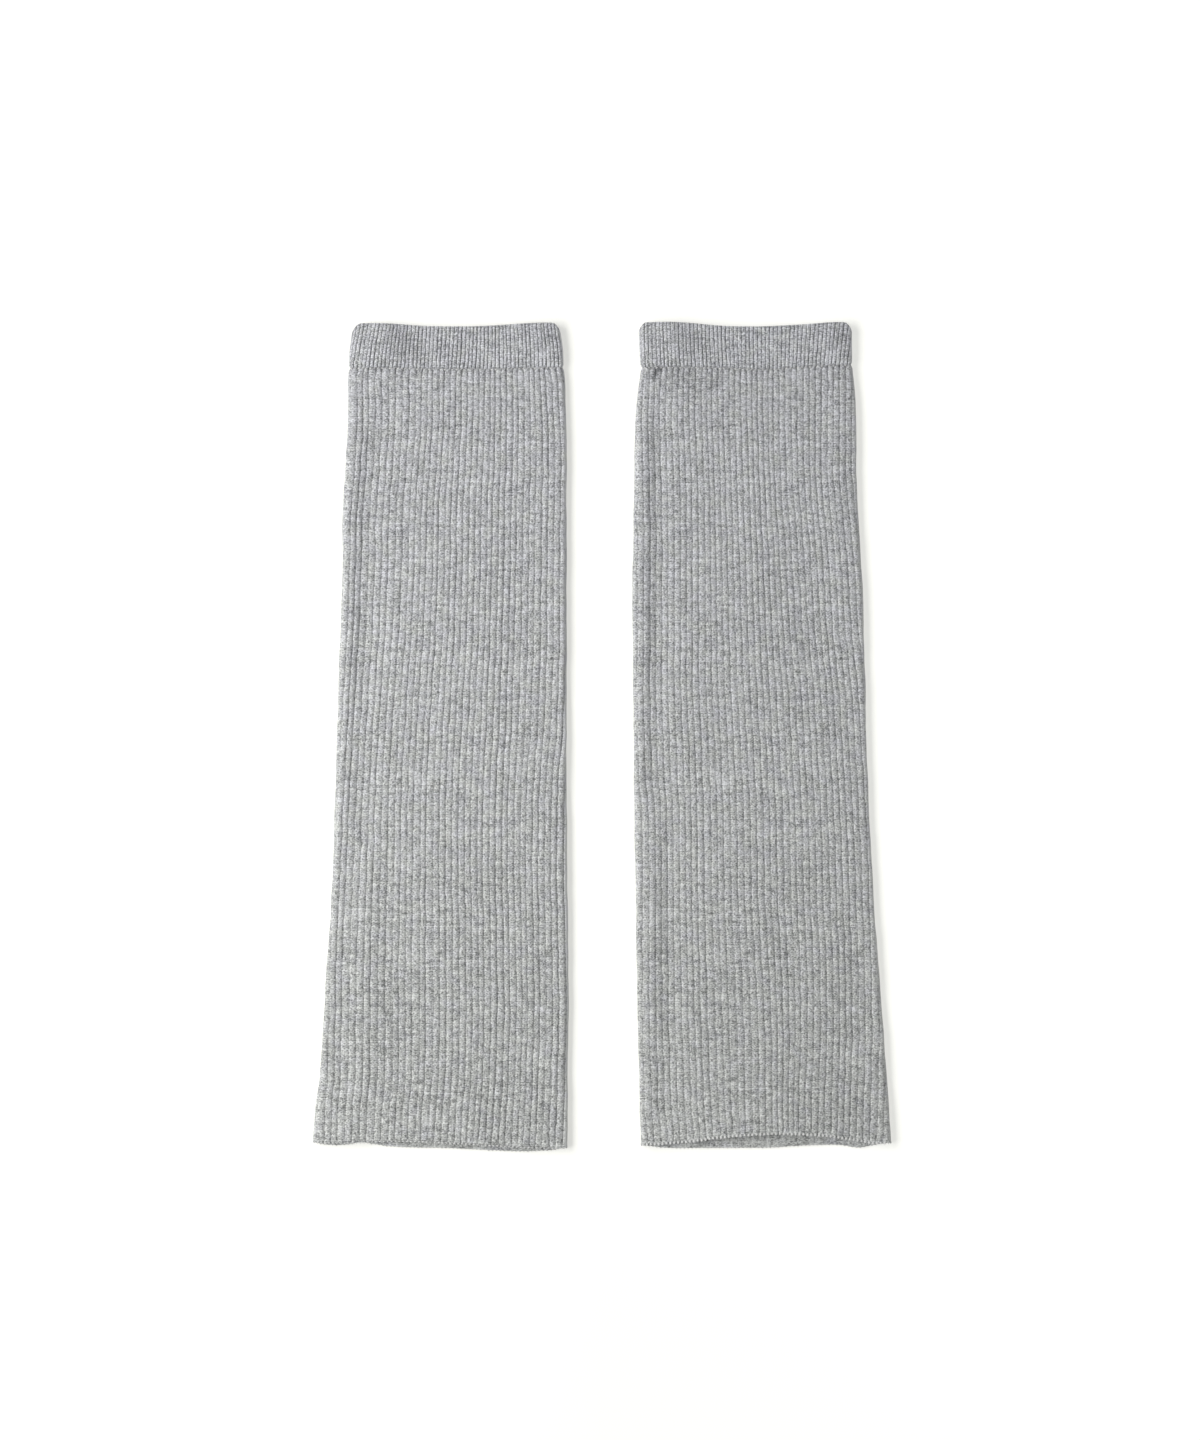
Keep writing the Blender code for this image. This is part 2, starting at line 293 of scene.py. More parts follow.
PAIR = (
    Warmer(
        name="left", centre=-74.3, leg=LEFT_LEG, sway=LEFT_SWAY, hem=LEFT_HEM, cuff=LEFT_CUFF,
        edge=LEFT_EDGE, lean=LEFT_LEAN, corners=(6.2, 5.4), inner_side="right", pressed=0.12,
    ),
    Warmer(
        name="right", centre=73.3, leg=RIGHT_LEG, sway=RIGHT_SWAY, hem=RIGHT_HEM, cuff=RIGHT_CUFF,
        edge=RIGHT_EDGE, lean=RIGHT_LEAN, corners=(4.4, 4.8), inner_side="left", pressed=0.28,
    ),
)
print("distance of the centre lines:", round(PAIR[1].centre - PAIR[0].centre, 1), "mm")

# %% [markdown]
# ## Reading a table smoothly
#
# Cloth has no corners between two measured places. A cubic curve through the rows, with the
# slope at each row taken from its neighbours, gives a smooth value anywhere, for a whole array
# of places at once.

# %% Helpers for tables
def reading(rows, places, column):
    """A column's values at any places along a table, on a smooth curve through its rows."""
    at = np.array([row[0] for row in rows])
    values = np.array([getattr(row, column) for row in rows])
    slopes = np.gradient(values, at)
    places = np.clip(places, at[0], at[-1])
    i = np.clip(np.searchsorted(at, places, side="right") - 1, 0, len(at) - 2)
    width = at[i + 1] - at[i]
    t = (places - at[i]) / width
    from_row = values[i] * (2 * t**3 - 3 * t**2 + 1) + slopes[i] * width * (t**3 - 2 * t**2 + t)
    to_row = values[i + 1] * (3 * t**2 - 2 * t**3) + slopes[i + 1] * width * (t**3 - t**2)
    return from_row + to_row


def eased(part):
    """A part from 0 to 1, with a level start and end."""
    part = np.clip(part, 0.0, 1.0)
    return part * part * (3.0 - 2.0 * part)


def blend(first, second, share):
    """A value between two others."""
    return first + (second - first) * share


print("left leg, 100 mm down, is", round(float(reading(LEFT_LEG, 100.0, "left")), 2), "mm half wide")

# %% [markdown]
# ## Chance, but always the same chance
#
# Hand-laid knit is never ruled: a rib drifts to one side, a groove opens and closes. Three sine
# waves of unequal length with random starts make such a drift, one lane for each rib. The random
# numbers come from a seeded generator, so every run draws the same pair.

# %% Unevenness
WAVE_SHARES = (1.0, 0.62, 0.37)     # the three waves' lengths and heights, against the longest's
WAVE_RANGE = (0.8, 1.25)            # a lane's waves are this much shorter or longer
WAVE_GAIN = 1.6                     # the waves seldom meet, so they are raised to reach the size


def uneven(rng, lanes, places, wave, size):
    """Smooth waviness of about the given size and wave length, for several lanes along places."""
    heights = np.zeros((len(places), lanes))
    for share in WAVE_SHARES:
        start = rng.uniform(0.0, 2 * pi, lanes)
        length = wave * share * rng.uniform(*WAVE_RANGE, lanes)
        heights += share * np.sin(2 * pi * np.asarray(places)[:, None] / length + start)
    return heights * size / sum(WAVE_SHARES) * WAVE_GAIN


sample = uneven(np.random.default_rng(1), 5, np.arange(0, 400, 2.0), 40.0, 0.2)
print("a drift of size 0.2 reaches", round(float(abs(sample).max()), 2), "mm at most")

# %% [markdown]
# ## The section of a flattened tube
#
# Cut across, a tube laid flat is a long loop: a straight front, a half-round fold at each side
# and a straight underside. A place on it is counted in ribs, from the bottom of the left fold,
# over the front and under the right fold, then back across the underside. The function gives the
# centre that each place turns about and its outward direction, and everything else is measured
# from those two.

# %% Section of a flattened tube
def fold_radius(knit):
    """Radius of the side fold, to the bottom of its grooves."""
    return (knit.under + knit.gap + knit.wall) / 2


def front_girth(knit, left, right):
    """Length of the front with both its side folds, along the bottom of the grooves."""
    return left + right - 2 * knit.rib + 2 * (pi - 1) * fold_radius(knit)


def section(knit, left, right, around):
    """Centre x, and outward x and z, at places counted in ribs around a section."""
    radius = fold_radius(knit)
    turn = pi * radius
    start = -left + knit.rib + radius
    end = right - knit.rib - radius
    girth = front_girth(knit, left, right)
    along = np.clip(around / knit.ribs, 0.0, 1.0) * girth
    strip = (around - knit.ribs) / knit.under_ribs
    angle = np.where(along < turn, -pi / 2 - along / radius, pi / 2)
    angle = np.where(along > girth - turn, (girth - along) / radius - pi / 2, angle)
    centre = np.clip(start + along - turn, start, end)
    centre = np.where(around > knit.ribs, end + (start - end) * strip, centre)
    middle = 2 * (centre - start) / (end - start) - 1
    return centre, np.cos(angle), np.sin(angle), middle


def column_places(knit):
    """Places of the mesh's columns, in ribs: several to a rib, so that its crest is round."""
    lanes = knit.ribs + knit.under_ribs
    places = []
    for rib in range(lanes):
        pressed = knit.ribs + ROUND_THE_FOLD <= rib < lanes - ROUND_THE_FOLD
        places += [rib + phase for phase in (UNDER_PHASES if pressed else knit.phases)]
    return np.array([*places, lanes])


top = LEFT_LEG[0]
spacing = front_girth(LEG_KNIT, top.left, top.right) / LEG_KNIT.ribs
print("rib spacing at a leg's top:", round(float(spacing), 2), "mm")
print("columns round a leg:", len(column_places(LEG_KNIT)) - 1)
print("columns round a cuff:", len(column_places(CUFF_KNIT)) - 1)

# %% [markdown]
# ## Ribs, grooves and the linked side seam
#
# A rib's height across its width is 1 at the crest and 0 in the grooves. On the inside it is the
# other way round: there a hollow runs behind each rib. Each groove has its own sideways drift and
# its own depth, which change slowly down the leg. One groove is the linked side seam, where the
# panel was closed into a tube: it lies near the inner side, and it is straighter than the others
# and even in depth. On the underside the ribs are pressed flat against the floor, so there the
# grooves are carved up into the wall instead.

# %% Ribs
Relief = namedtuple("Relief", "around height groove behind depth")

RIB_UNEVEN = 0.045          # how unequal the ribs' widths are, in ribs
DEPTH_UNEVEN = 0.12         # how unequal the grooves' depths are, as a part of them
DRIFT_WAVES = ((30.0, 0.05), (8.0, 0.03))       # lengths and sizes of a groove's sideways waves
DEPTH_WAVES = ((46.0, 0.20), (10.0, 0.14))      # and of the changes of its depth
SEAM_PIT = 0.45             # extra depth of the legs' grooves at the cuff seam, as a part of it
SEAM_PIT_RANGE = (0.2, 1.8)     # how that differs from groove to groove
SEAM_PIT_REACH = 2.4        # how far down the leg the pits go
SIDE_SEAM = {"left": 1, "right": -1}        # the seam's groove, counted from either fold
SIDE_SEAM_DEPTH = 1.15      # its depth, as a part of a groove's
SIDE_SEAM_DRIFT = 0.3       # its drift, as a part of a groove's


def seam_groove(knit, side):
    """Number of the groove that is the linked side seam."""
    return SIDE_SEAM[side] % knit.ribs


def relief(knit, side, around, places, pit, rng):
    """Where the columns drift to, how they stand in their ribs, and their grooves' depth."""
    lanes = knit.ribs + knit.under_ribs
    places = np.asarray(places)
    drift = rng.normal(0.0, RIB_UNEVEN, lanes)
    for wave, size in DRIFT_WAVES:
        drift = drift + uneven(rng, lanes, places, wave, size)
    depth = rng.normal(1.0, DEPTH_UNEVEN, lanes)
    for wave, size in DEPTH_WAVES:
        depth = depth + uneven(rng, lanes, places, wave, size)
    pits = pit * rng.uniform(*SEAM_PIT_RANGE, lanes)
    depth += pits * np.exp(-((places / SEAM_PIT_REACH) ** 2))[:, None]
    seam = seam_groove(knit, side)
    drift[:, seam] *= SIDE_SEAM_DRIFT
    depth[:, seam] = SIDE_SEAM_DEPTH
    drift[:, 0] = 0.0
    groove = np.floor(around).astype(int) % lanes
    following = (groove + 1) % lanes
    phase = around - np.floor(around)
    moved = around + blend(drift[:, groove], drift[:, following], phase)
    height = np.broadcast_to(1.0 - np.abs(2 * phase - 1) ** knit.sharp, moved.shape)
    # painted shade: a narrow dark line in each groove, which the colour reads
    line = np.broadcast_to(np.abs(2 * phase - 1) ** GROOVE_LINE, moved.shape)
    behind = (1 - np.abs(2 * phase - 1)) ** 2
    deep = blend(depth[:, groove], depth[:, following], eased(phase))
    return Relief(moved, height, line, behind, deep)


print("side seams are grooves", seam_groove(LEG_KNIT, "left"), "and", seam_groove(LEG_KNIT, "right"))

# %% [markdown]
# ## Creases listed one by one
#
# Laid cloth keeps a few broad, soft creases. Each row of the table is one of them: a line from
# one place to another, with a width and a height. A negative height is a trough. They follow
# where such a tube gives: beside the side folds, under the cuff, where a hand has pressed it. Two
# very short, narrow troughs make the V-shaped pucker at the right warmer's cuff seam. The
# underside has similar creases. A broad trough stays under half a millimetre where the layers lie
# on each other, so they never cross.

# %% Creases of the legs
LEFT_FRONT = table(
    "x      down   to_x   to_down width height",
    (-51.5, 26.0,  -56.5, 226.0,  4.2,  0.85),
    (-44.5, 48.0,  -48.0, 240.0,  5.0,  -0.40),
    (-45.0, 250.0, -48.5, 378.0,  6.0,  0.55),
    (-36.0, 246.0, -39.0, 380.0,  6.0,  -0.42),
    (-33.0, 8.0,   -46.0, 56.0,   6.0,  -0.42),
    (41.0,  6.0,   45.0,  40.0,   6.0,  0.55),
    (20.0,  70.0,  27.0,  92.0,   7.0,  -0.35),
    (6.0,   92.0,  9.0,   118.0,  6.0,  -0.30),
    (28.0,  150.0, 37.0,  214.0,  8.0,  -0.35),
    (-13.0, 204.0, -8.0,  230.0,  6.0,  -0.30),
    (10.0,  236.0, 38.0,  246.0,  5.0,  -0.32),
    (-24.0, 342.0, 10.0,  338.0,  4.0,  0.35),
    (30.0,  348.0, 26.0,  392.0,  7.0,  -0.36),
    (48.0,  236.0, 50.0,  264.0,  5.0,  0.35),
)
LEFT_UNDER = table(
    "x      down   to_x   to_down width height",
    (-40.0, 40.0,  -44.0, 180.0,  8.0,  0.30),
    (12.0,  120.0, 22.0,  210.0,  9.0,  0.26),
    (-30.0, 250.0, 20.0,  262.0,  6.0,  0.24),
    (36.0,  300.0, 30.0,  380.0,  8.0,  0.28),
)
RIGHT_FRONT = table(
    "x      down   to_x   to_down width height",
    (-51.5, 24.0,  -52.5, 216.0,  4.0,  1.00),
    (-44.5, 16.0,  -45.5, 200.0,  4.6,  -0.45),
    (-47.0, 236.0, -47.5, 372.0,  4.6,  0.75),
    (-39.5, 240.0, -40.5, 376.0,  5.5,  -0.40),
    (-40.0, 5.0,   -14.0, 9.0,    5.0,  -0.42),
    (-44.2, 0.6,   -47.2, 5.6,    0.8,  -0.80),
    (-44.2, 0.6,   -42.6, 3.4,    0.7,  -0.70),
    (46.0,  14.0,  48.0,  120.0,  5.0,  0.45),
    (18.0,  60.0,  23.0,  78.0,   9.0,  -0.36),
    (10.0,  120.0, 16.0,  150.0,  7.0,  -0.30),
    (26.0,  104.0, 34.0,  178.0,  8.0,  -0.32),
    (8.0,   262.0, 28.0,  308.0,  6.0,  -0.38),
    (52.0,  285.0, 60.0,  345.0,  8.0,  -0.35),
    (34.0,  300.0, 36.0,  350.0,  7.0,  0.38),
    (-22.0, 316.0, 6.0,   322.0,  6.0,  -0.28),
)
RIGHT_UNDER = table(
    "x      down   to_x   to_down width height",
    (40.0,  50.0,  46.0,  170.0,  8.0,  0.30),
    (-20.0, 90.0,  -12.0, 200.0,  9.0,  0.24),
    (-34.0, 240.0, 14.0,  232.0,  6.0,  0.24),
    (-28.0, 290.0, -34.0, 376.0,  8.0,  0.28),
)
CREASES = {"left": (LEFT_FRONT, LEFT_UNDER), "right": (RIGHT_FRONT, RIGHT_UNDER)}
print("creases on the legs' fronts:", len(LEFT_FRONT), "and", len(RIGHT_FRONT))

# %% [markdown]
# ## Creases of the cuffs
#
# A cuff is held by its elastic and keeps only a few creases, which run up and down near its
# corners and slantwise in its middle. `down` is negative here, because a cuff lies above the seam.

# %% Creases of the cuffs
LEFT_CUFF_FRONT = table(
    "x      down   to_x   to_down width height",
    (-37.0, -25.0, -39.0, 0.0,    6.5,  0.75),
    (-19.0, -24.0, -21.0, 0.0,    6.0,  -0.25),
    (12.0,  -18.0, 30.0,  -5.0,   5.0,  0.40),
    (45.0,  -20.0, 47.0,  -4.0,   4.0,  0.55),
)
RIGHT_CUFF_FRONT = table(
    "x      down   to_x   to_down width height",
    (-38.0, -24.0, -36.0, -6.0,   6.5,  0.75),
    (-18.0, -22.0, -20.0, -10.0,  6.0,  -0.25),
    (4.0,   -12.0, 26.0,  -10.0,  4.5,  0.35),
    (44.0,  -22.0, 45.0,  -2.0,   4.5,  0.60),
)
CUFF_CREASES = {"left": LEFT_CUFF_FRONT, "right": RIGHT_CUFF_FRONT}
print("creases on the cuffs' fronts:", len(LEFT_CUFF_FRONT), "and", len(RIGHT_CUFF_FRONT))

# %% [markdown]
# ## The height of a crease
#
# Across its line a crease rises and falls as a bell curve does, softly and without an edge, and
# along its line it swells and fades. All creases of a layer are added up.

# %% Height of the creases
def swelling(crease, part):
    """How a crease swells and fades on its way, a different way for each crease."""
    return 0.7 + 0.3 * np.sin(pi * part) + 0.15 * np.sin(5 * pi * part + crease.x)


def crease_height(creases, x, down):
    """Height of all the creases together at places of one layer."""
    height = np.zeros(np.broadcast(x, down).shape)
    for crease in creases:
        run_x = crease.to_x - crease.x
        run_down = crease.to_down - crease.down
        length = run_x**2 + run_down**2
        part = ((x - crease.x) * run_x + (down - crease.down) * run_down) / length
        part = np.clip(part, 0.0, 1.0)
        away = np.hypot(x - crease.x - part * run_x, down - crease.down - part * run_down)
        height += crease.height * swelling(crease, part) * np.exp(-((away / crease.width) ** 2))
    return height


level = float(crease_height(LEFT_FRONT, -54.0, 126.0))
print("beside the left leg's side fold the creases add up to", round(level, 2), "mm")

# %% [markdown]
# ## Patches of darker yarn, and painted shade
#
# Melange yarn is never even: where several courses of a darker stretch fall together, the knit
# has a darker patch. Other rows are painted shade: long narrow ones along the troughs of creases,
# small ones in the pucker at the right warmer's cuff seam, and the widest, which make each leg
# darker towards its hem. Each row places one by its middle, with its half width, its half height and
# its tone, which is negative where it is darker. Very wide patches are the slow changes from one
# end of a leg to the other. The material reads the result as an attribute.

# %% Patches
YARN_PATCHES_AND_PAINTED_SHADE = {
    "left": table(
        "x      down   width  height tone",
        (-26.0, -13.0, 11.0,  12.0,  -0.15),
        (-31.0, 12.0,  9.0,   8.0,   -0.07),
        # painted shade along the troughs of creases, in this row and the next two
        (-40.0, 36.0,  7.0,   26.0,  -0.05),
        (-47.0, 140.0, 5.5,   80.0,  -0.06),
        (-34.5, 318.0, 6.5,   72.0,  -0.09),
        (44.0,  10.0,  9.0,   8.0,   0.06),
        (48.0,  -17.0, 5.0,   6.0,   -0.07),
        (20.0,  -6.0,  14.0,  5.0,   0.04),
        (-14.0, 212.0, 26.0,  5.0,   -0.04),
        (12.0,  78.0,  20.0,  4.0,   -0.03),
        (0.0,   262.0, 30.0,  6.0,   -0.03),
        (-50.0, 330.0, 14.0,  16.0,  -0.04),
        # painted shade: the leg darker towards its hem
        (0.0,   370.0, 120.0, 130.0, -0.062),
        (0.0,   60.0,  120.0, 60.0,  -0.02),
    ),
    "right": table(
        "x      down   width  height tone",
        (-26.0, -14.0, 13.0,  8.0,   -0.11),
        # painted shade along the troughs of creases, in this row and the next
        (-28.0, 7.0,   15.0,  6.0,   -0.18),
        (-48.0, 110.0, 5.0,   85.0,  -0.06),
        # painted shade: the dark V of the pucker at the cuff seam, in this row and the next two
        (-44.4, 1.0,   1.2,   1.4,   -0.7),
        (-45.6, 2.9,   1.1,   1.5,   -0.7),
        (-46.8, 5.0,   1.0,   1.6,   -0.6),
        # painted shade along the trough of a crease
        (-42.0, 300.0, 5.5,   65.0,  -0.05),
        (0.0,   -12.0, 90.0,  12.0,  0.03),
        (49.0,  -12.0, 4.0,   9.0,   -0.08),
        (8.0,   -4.0,  12.0,  3.0,   -0.04),
        (14.0,  150.0, 24.0,  6.0,   -0.03),
        (-20.0, 300.0, 26.0,  10.0,  -0.03),
        (24.0,  340.0, 22.0,  8.0,   -0.03),
        (0.0,   385.0, 34.0,  4.0,   -0.04),
        # painted shade: the leg darker towards its hem
        (0.0,   370.0, 120.0, 130.0, -0.04),
    ),
}


def patch_and_shade_tone(warmer, x, down):
    """Tone of the yarn's patches and of the painted shade at places of a warmer, 0 where the yarn is
    even and no shade is painted.
    """
    tone = np.zeros(np.broadcast(x, down).shape)
    for patch in YARN_PATCHES_AND_PAINTED_SHADE[warmer.name]:
        off = ((x - patch.x) / patch.width) ** 2 + ((down - patch.down) / patch.height) ** 2
        tone += patch.tone * np.exp(-off)
    return tone


print("patches of yarn:", sum(len(patches) for patches in YARN_PATCHES_AND_PAINTED_SHADE.values()))

# %% [markdown]
# ## The nap on a fold
#
# Loose fibres stand out all over a soft knit. Along a side fold they are seen against the bright
# table, and its light shines through them, so the fold on the shaded side looks lighter than its
# own shade would be. The fibres are too fine to model, so their light is painted light: a lighter
# tone that fades within a millimetre or two of the fold.

# %% Painted light on the right-hand folds
PAINTED_LIGHT_REACH = 1.4         # the painted light reaches this far round the right-hand fold
FOLD_PAINTED_LIGHT = {"left": 0.8, "right": 0.55}     # how much lighter the painted light makes each warmer's fold


def painted_fold_light(warmer, points):
    """Painted light: the lighter tone of the right-hand fold, where the table shines through the nap.
    """
    across = points[..., 0]
    off = (across.max(axis=1, keepdims=True) - across) / PAINTED_LIGHT_REACH
    return FOLD_PAINTED_LIGHT[warmer.name] * np.exp(-off**2)


print("tone of the folds' nap:", FOLD_PAINTED_LIGHT)

# %% [markdown]
# ## How far the ribs stand out
#
# Both walls are made alike. An outer point stands off the centre that it turns about by the
# fold's radius and its rib's height. Next to the cuff seam the knit dives into it, with the ribs'
# heads staying up as small arches, and the grooves turn to pits.

# %% Outer points
SEAM_DIP = 0.6          # how far the knit dives into the cuff seam
SEAM_DIP_REACH = 0.8    # over this length at a crest
SEAM_ARCH = 0.9         # and over this much more of it at a groove
WALL_LEAST = 0.4        # no groove or pit leaves less of the wall


def across_warmer(x, left, right):
    """A place across a warmer, from its left side (0) to its right (1)."""
    return (x + left) / (left + right)


def seam_dive(rows, ribs):
    """How far the knit has dived into the cuff seam, at rows away from it."""
    reach = SEAM_DIP_REACH * (1 + SEAM_ARCH * (1 - ribs.height))
    return SEAM_DIP * np.exp(-((rows / reach) ** 2))


def outer_reach(knit, ribs, out_z, depth, dive):
    """How far the outer points lie from the centres that they turn about."""
    radius = fold_radius(knit)
    crest = knit.rib * np.clip((1 + out_z) / FOLD_EASE, 0.0, 1.0)
    carve = blend(knit.carve, knit.rib, crest / knit.rib)
    reach = radius + crest - carve * (1 - ribs.height) * depth - dive
    return np.maximum(reach, radius - knit.wall + WALL_LEAST)


print("a leg's crests lie", round(fold_radius(LEG_KNIT) + LEG_KNIT.rib, 2), "mm from their centres")

# %% [markdown]
# ## The sides and the sway of a leg
#
# A leg's side edges are read from its table and are a little wavy. The sway moves its columns
# round the tube, so that they follow the ribs. Between the five places across the leg the sway
# blends softly from one column of its table to the next.

# %% Sides and sway
EDGE_DRIFT = 0.12       # waviness of the side edges
EDGE_WAVE = 38.0        # and the length of its waves
EDGE_SEED = 40          # their random numbers start here
SWAY_PLACES = {0.05: "left", 0.275: "near_left", 0.5: "middle", 0.725: "near_right", 0.95: "right"}
SWAY_SPAN = 0.225       # from each of those places to the next, across the leg


def leg_sides(warmer, down):
    """A leg's half widths to the left and to the right, at rows down it."""
    rng = np.random.default_rng(EDGE_SEED + len(warmer.name))
    edges = uneven(rng, 2, down, EDGE_WAVE, EDGE_DRIFT)
    rows = np.asarray(down)[:, None]
    left = reading(warmer.leg, rows, "left") + edges[:, :1]
    right = reading(warmer.leg, rows, "right") + edges[:, 1:]
    return left, right


def swayed(warmer, around, left, right, rows):
    """Places round a leg, in ribs, once the ribs have run aside with the turn of the tube."""
    knit = LEG_KNIT
    centre = section(knit, left, right, around)[0]
    across = np.clip(across_warmer(centre, left, right), min(SWAY_PLACES), max(SWAY_PLACES))
    run = 0.0
    for place, column in SWAY_PLACES.items():
        near = eased(1 - np.abs(across - place) / SWAY_SPAN)
        run = run + near * reading(warmer.sway, rows, column)
    pitch = front_girth(knit, left, right) / knit.ribs
    return (around + run / pitch) % (knit.ribs + knit.under_ribs)


left, right = leg_sides(PAIR[0], np.array([0.0, LEG_LENGTH]))
print("left leg's width at the seam and at the hem:", np.round(left + right, 1).ravel(), "mm")

# %% [markdown]
# ## How the layers of a leg rise
#
# The two layers are held together at the side folds and free between them. The front one is
# raised by its puff, its creases and the open hem's lift. The underside keeps to the table but
# for its own faint creases.

# %% Rise of the layers
SEAM_CALM = 0.8         # part of a crease that the cuff seam pulls flat


def near_hem(rows, reach):
    """How near rows of a leg are to its hem: 1 there, and 0 at the given reach from it."""
    return eased(1 - (LEG_LENGTH - rows) / reach)


def near_seam(rows):
    """How near rows of a leg are to its cuff seam."""
    return 1 - eased(rows / SEAM_REACH)


def leg_rise(warmer, rows, centre, across, out_z, middle):
    """How far puff, the lifted hem and the creases raise the layers of a leg."""
    mouth = near_hem(rows, MOUTH_REACH)
    level = 1 - middle**4               # nothing is lifted at the side folds
    lift = reading(warmer.leg, rows, "puff") + mouth * reading(warmer.hem, across, "lift")
    on_front, on_under = CREASES[warmer.name]
    keep = 1 - SEAM_CALM * near_seam(rows) ** 6
    rise = np.where(out_z > 0, lift * level + keep * crease_height(on_front, centre, rows), 0.0)
    sag = np.where(out_z < 0, crease_height(on_under, centre, rows) * level, 0.0)
    return (rise + sag * (1 - mouth)) * np.abs(out_z)


above = LEG_LENGTH - MOUTH_REACH / 3
print("share of the hem's lift 15 mm above it:", round(float(near_hem(above, MOUTH_REACH)), 2))

# %% [markdown]
# ## The form of a leg
#
# Now the pieces come together. For places round the tube and rows down it, the function gives the
# wall's outer points, its inner points and the painted shade of the groove at each outer point. The
# inner wall dips behind each rib and comes forward at each groove, as the back of a rib knit does.

# %% Form of a leg
Form = namedtuple("Form", "outer inner groove behind")

EDGE_FLAT = 1.6         # the ribs flatten over this length into the cast-off edge
EDGE_DEPTH = 0.45       # and keep this part of their grooves' depth there
INNER_RIB = 0.35        # depth of the hollow behind a rib


def leg_form(warmer, around, down, with_ribs=True):
    """The wall of a leg at rows down it and at places round it."""
    knit = LEG_KNIT
    if with_ribs:
        rng = np.random.default_rng(len(warmer.name))
        ribs = relief(knit, warmer.inner_side, around, down, SEAM_PIT, rng)
    else:
        unmoved = np.tile(around, (len(down), 1))
        ribs = Relief(around=unmoved, height=1.0, groove=0.0, behind=0.0, depth=1.0)
    rows = np.asarray(down)[:, None]
    left, right = leg_sides(warmer, down)
    places = swayed(warmer, ribs.around, left, right, rows)
    centre, out_x, out_z, middle = section(knit, left, right, places)
    radius = fold_radius(knit)
    across = across_warmer(centre + radius * out_x, left, right)
    rise = leg_rise(warmer, rows, centre, across, out_z, middle)
    depth = ribs.depth * (1 - warmer.pressed)
    depth = depth * blend(EDGE_DEPTH, 1.0, eased((LEG_LENGTH - rows) / EDGE_FLAT))
    reach = outer_reach(knit, ribs, out_z, depth, seam_dive(rows, ribs))

    back = reading(warmer.hem, across, "back")
    ahead = reading(warmer.hem, across, "front")
    seam = (reading(warmer.edge, across, "seam") - SEAM_GAP / 2) * near_seam(rows)
    hem = near_hem(rows, HEM_REACH) * blend(back, ahead, (1 + out_z) / 2)
    y = SEAM_Y + seam - rows - hem
    behind = INNER_RIB * ribs.behind * out_z**6
    outer = np.stack([
        warmer.centre + centre + reach * out_x,
        y,
        radius + reach * out_z + rise,
    ], axis=-1)
    inner = np.stack([
        warmer.centre + centre + knit.gap / 2 * out_x,
        y,
        knit.under + knit.gap / 2 * (1 + out_z) + behind * np.sign(out_z) + rise,
    ], axis=-1)
    return Form(outer, inner, ribs.groove * depth, ribs.behind)


test_form = leg_form(PAIR[0], column_places(LEG_KNIT), np.array([0.0, 200.0, LEG_LENGTH]))
print("a leg's front stands", round(float(test_form.outer[1, :, 2].max()), 2), "mm high half way")

# %% [markdown]
# ## The form of a cuff
#
# The cuff is the same loop with finer ribs. It runs from the seam up to the edge where the band
# is folded double, and that edge dips in the middle and turns down round its two corners. Where
# it meets the leg, its ribs dive into the linked seam too.

# %% Form of a cuff
CUFF_PITCH = 2.0        # width of a cuff's rib
CUFF_SEED = 70          # its random numbers start here
CREASE_END = 0.2        # the creases fade over this part of the band, below its fold


def corner_drop(distance, radius):
    """How far a rounded corner lies below the edge, at a distance in from the side."""
    inside = np.clip(distance, 0.0, radius)
    return radius - np.sqrt(radius**2 - (radius - inside) ** 2)


def rib_lean(warmer, around):
    """How far a cuff's columns lean on their way up, in ribs, all round the cuff."""
    knit = CUFF_KNIT
    front = reading(warmer.lean, around / knit.ribs, "lean")
    under = blend(warmer.lean[-1].lean, warmer.lean[0].lean, (around - knit.ribs) / knit.under_ribs)
    return np.where(around > knit.ribs, under, front) / CUFF_PITCH


def cuff_form(warmer, around, up):
    """The wall of a cuff at rows up it, from its seam (0) to its folded edge (1)."""
    knit = CUFF_KNIT
    rng = np.random.default_rng(CUFF_SEED + len(warmer.name))
    band = reading(warmer.edge, 0.5, "top")
    ribs = relief(knit, warmer.inner_side, around, np.asarray(up) * band, 0.0, rng)
    rows = np.asarray(up)[:, None]
    left = reading(warmer.cuff, rows, "left")
    right = reading(warmer.cuff, rows, "right")
    leant = (ribs.around + rib_lean(warmer, around) * rows) % (knit.ribs + knit.under_ribs)
    centre, out_x, out_z = section(knit, left, right, leant)[:3]
    depth = ribs.depth * (1 - warmer.pressed)
    reach = outer_reach(knit, ribs, out_z, depth, seam_dive(rows * band, ribs))
    rise = np.where(out_z > 0, crease_height(CUFF_CREASES[warmer.name], centre, -rows * band), 0.0)
    rise = rise * eased((1 - rows) / CREASE_END) * np.abs(out_z)
    x = centre + reach * out_x
    across = across_warmer(x, left, right)
    top = reading(warmer.edge, across, "top") - CUFF_ROUND
    top = top - corner_drop(x + left, warmer.corners[0]) - corner_drop(right - x, warmer.corners[1])
    y = SEAM_Y + blend(reading(warmer.edge, across, "seam") + SEAM_GAP / 2, top, rows)
    outer = np.stack([warmer.centre + x, y, fold_radius(knit) + reach * out_z + rise], axis=-1)
    inner_z = knit.under + knit.gap / 2 * (1 + out_z) + rise
    inner = np.stack([warmer.centre + centre + knit.gap / 2 * out_x, y, inner_z], axis=-1)
    return Form(outer, inner, ribs.groove * depth, ribs.behind)


test_form = cuff_form(PAIR[0], column_places(CUFF_KNIT), np.array([0.0, 0.5, 1.0]))
print("a cuff's front stands", round(float(test_form.outer[1, :, 2].max()), 2), "mm high half way")

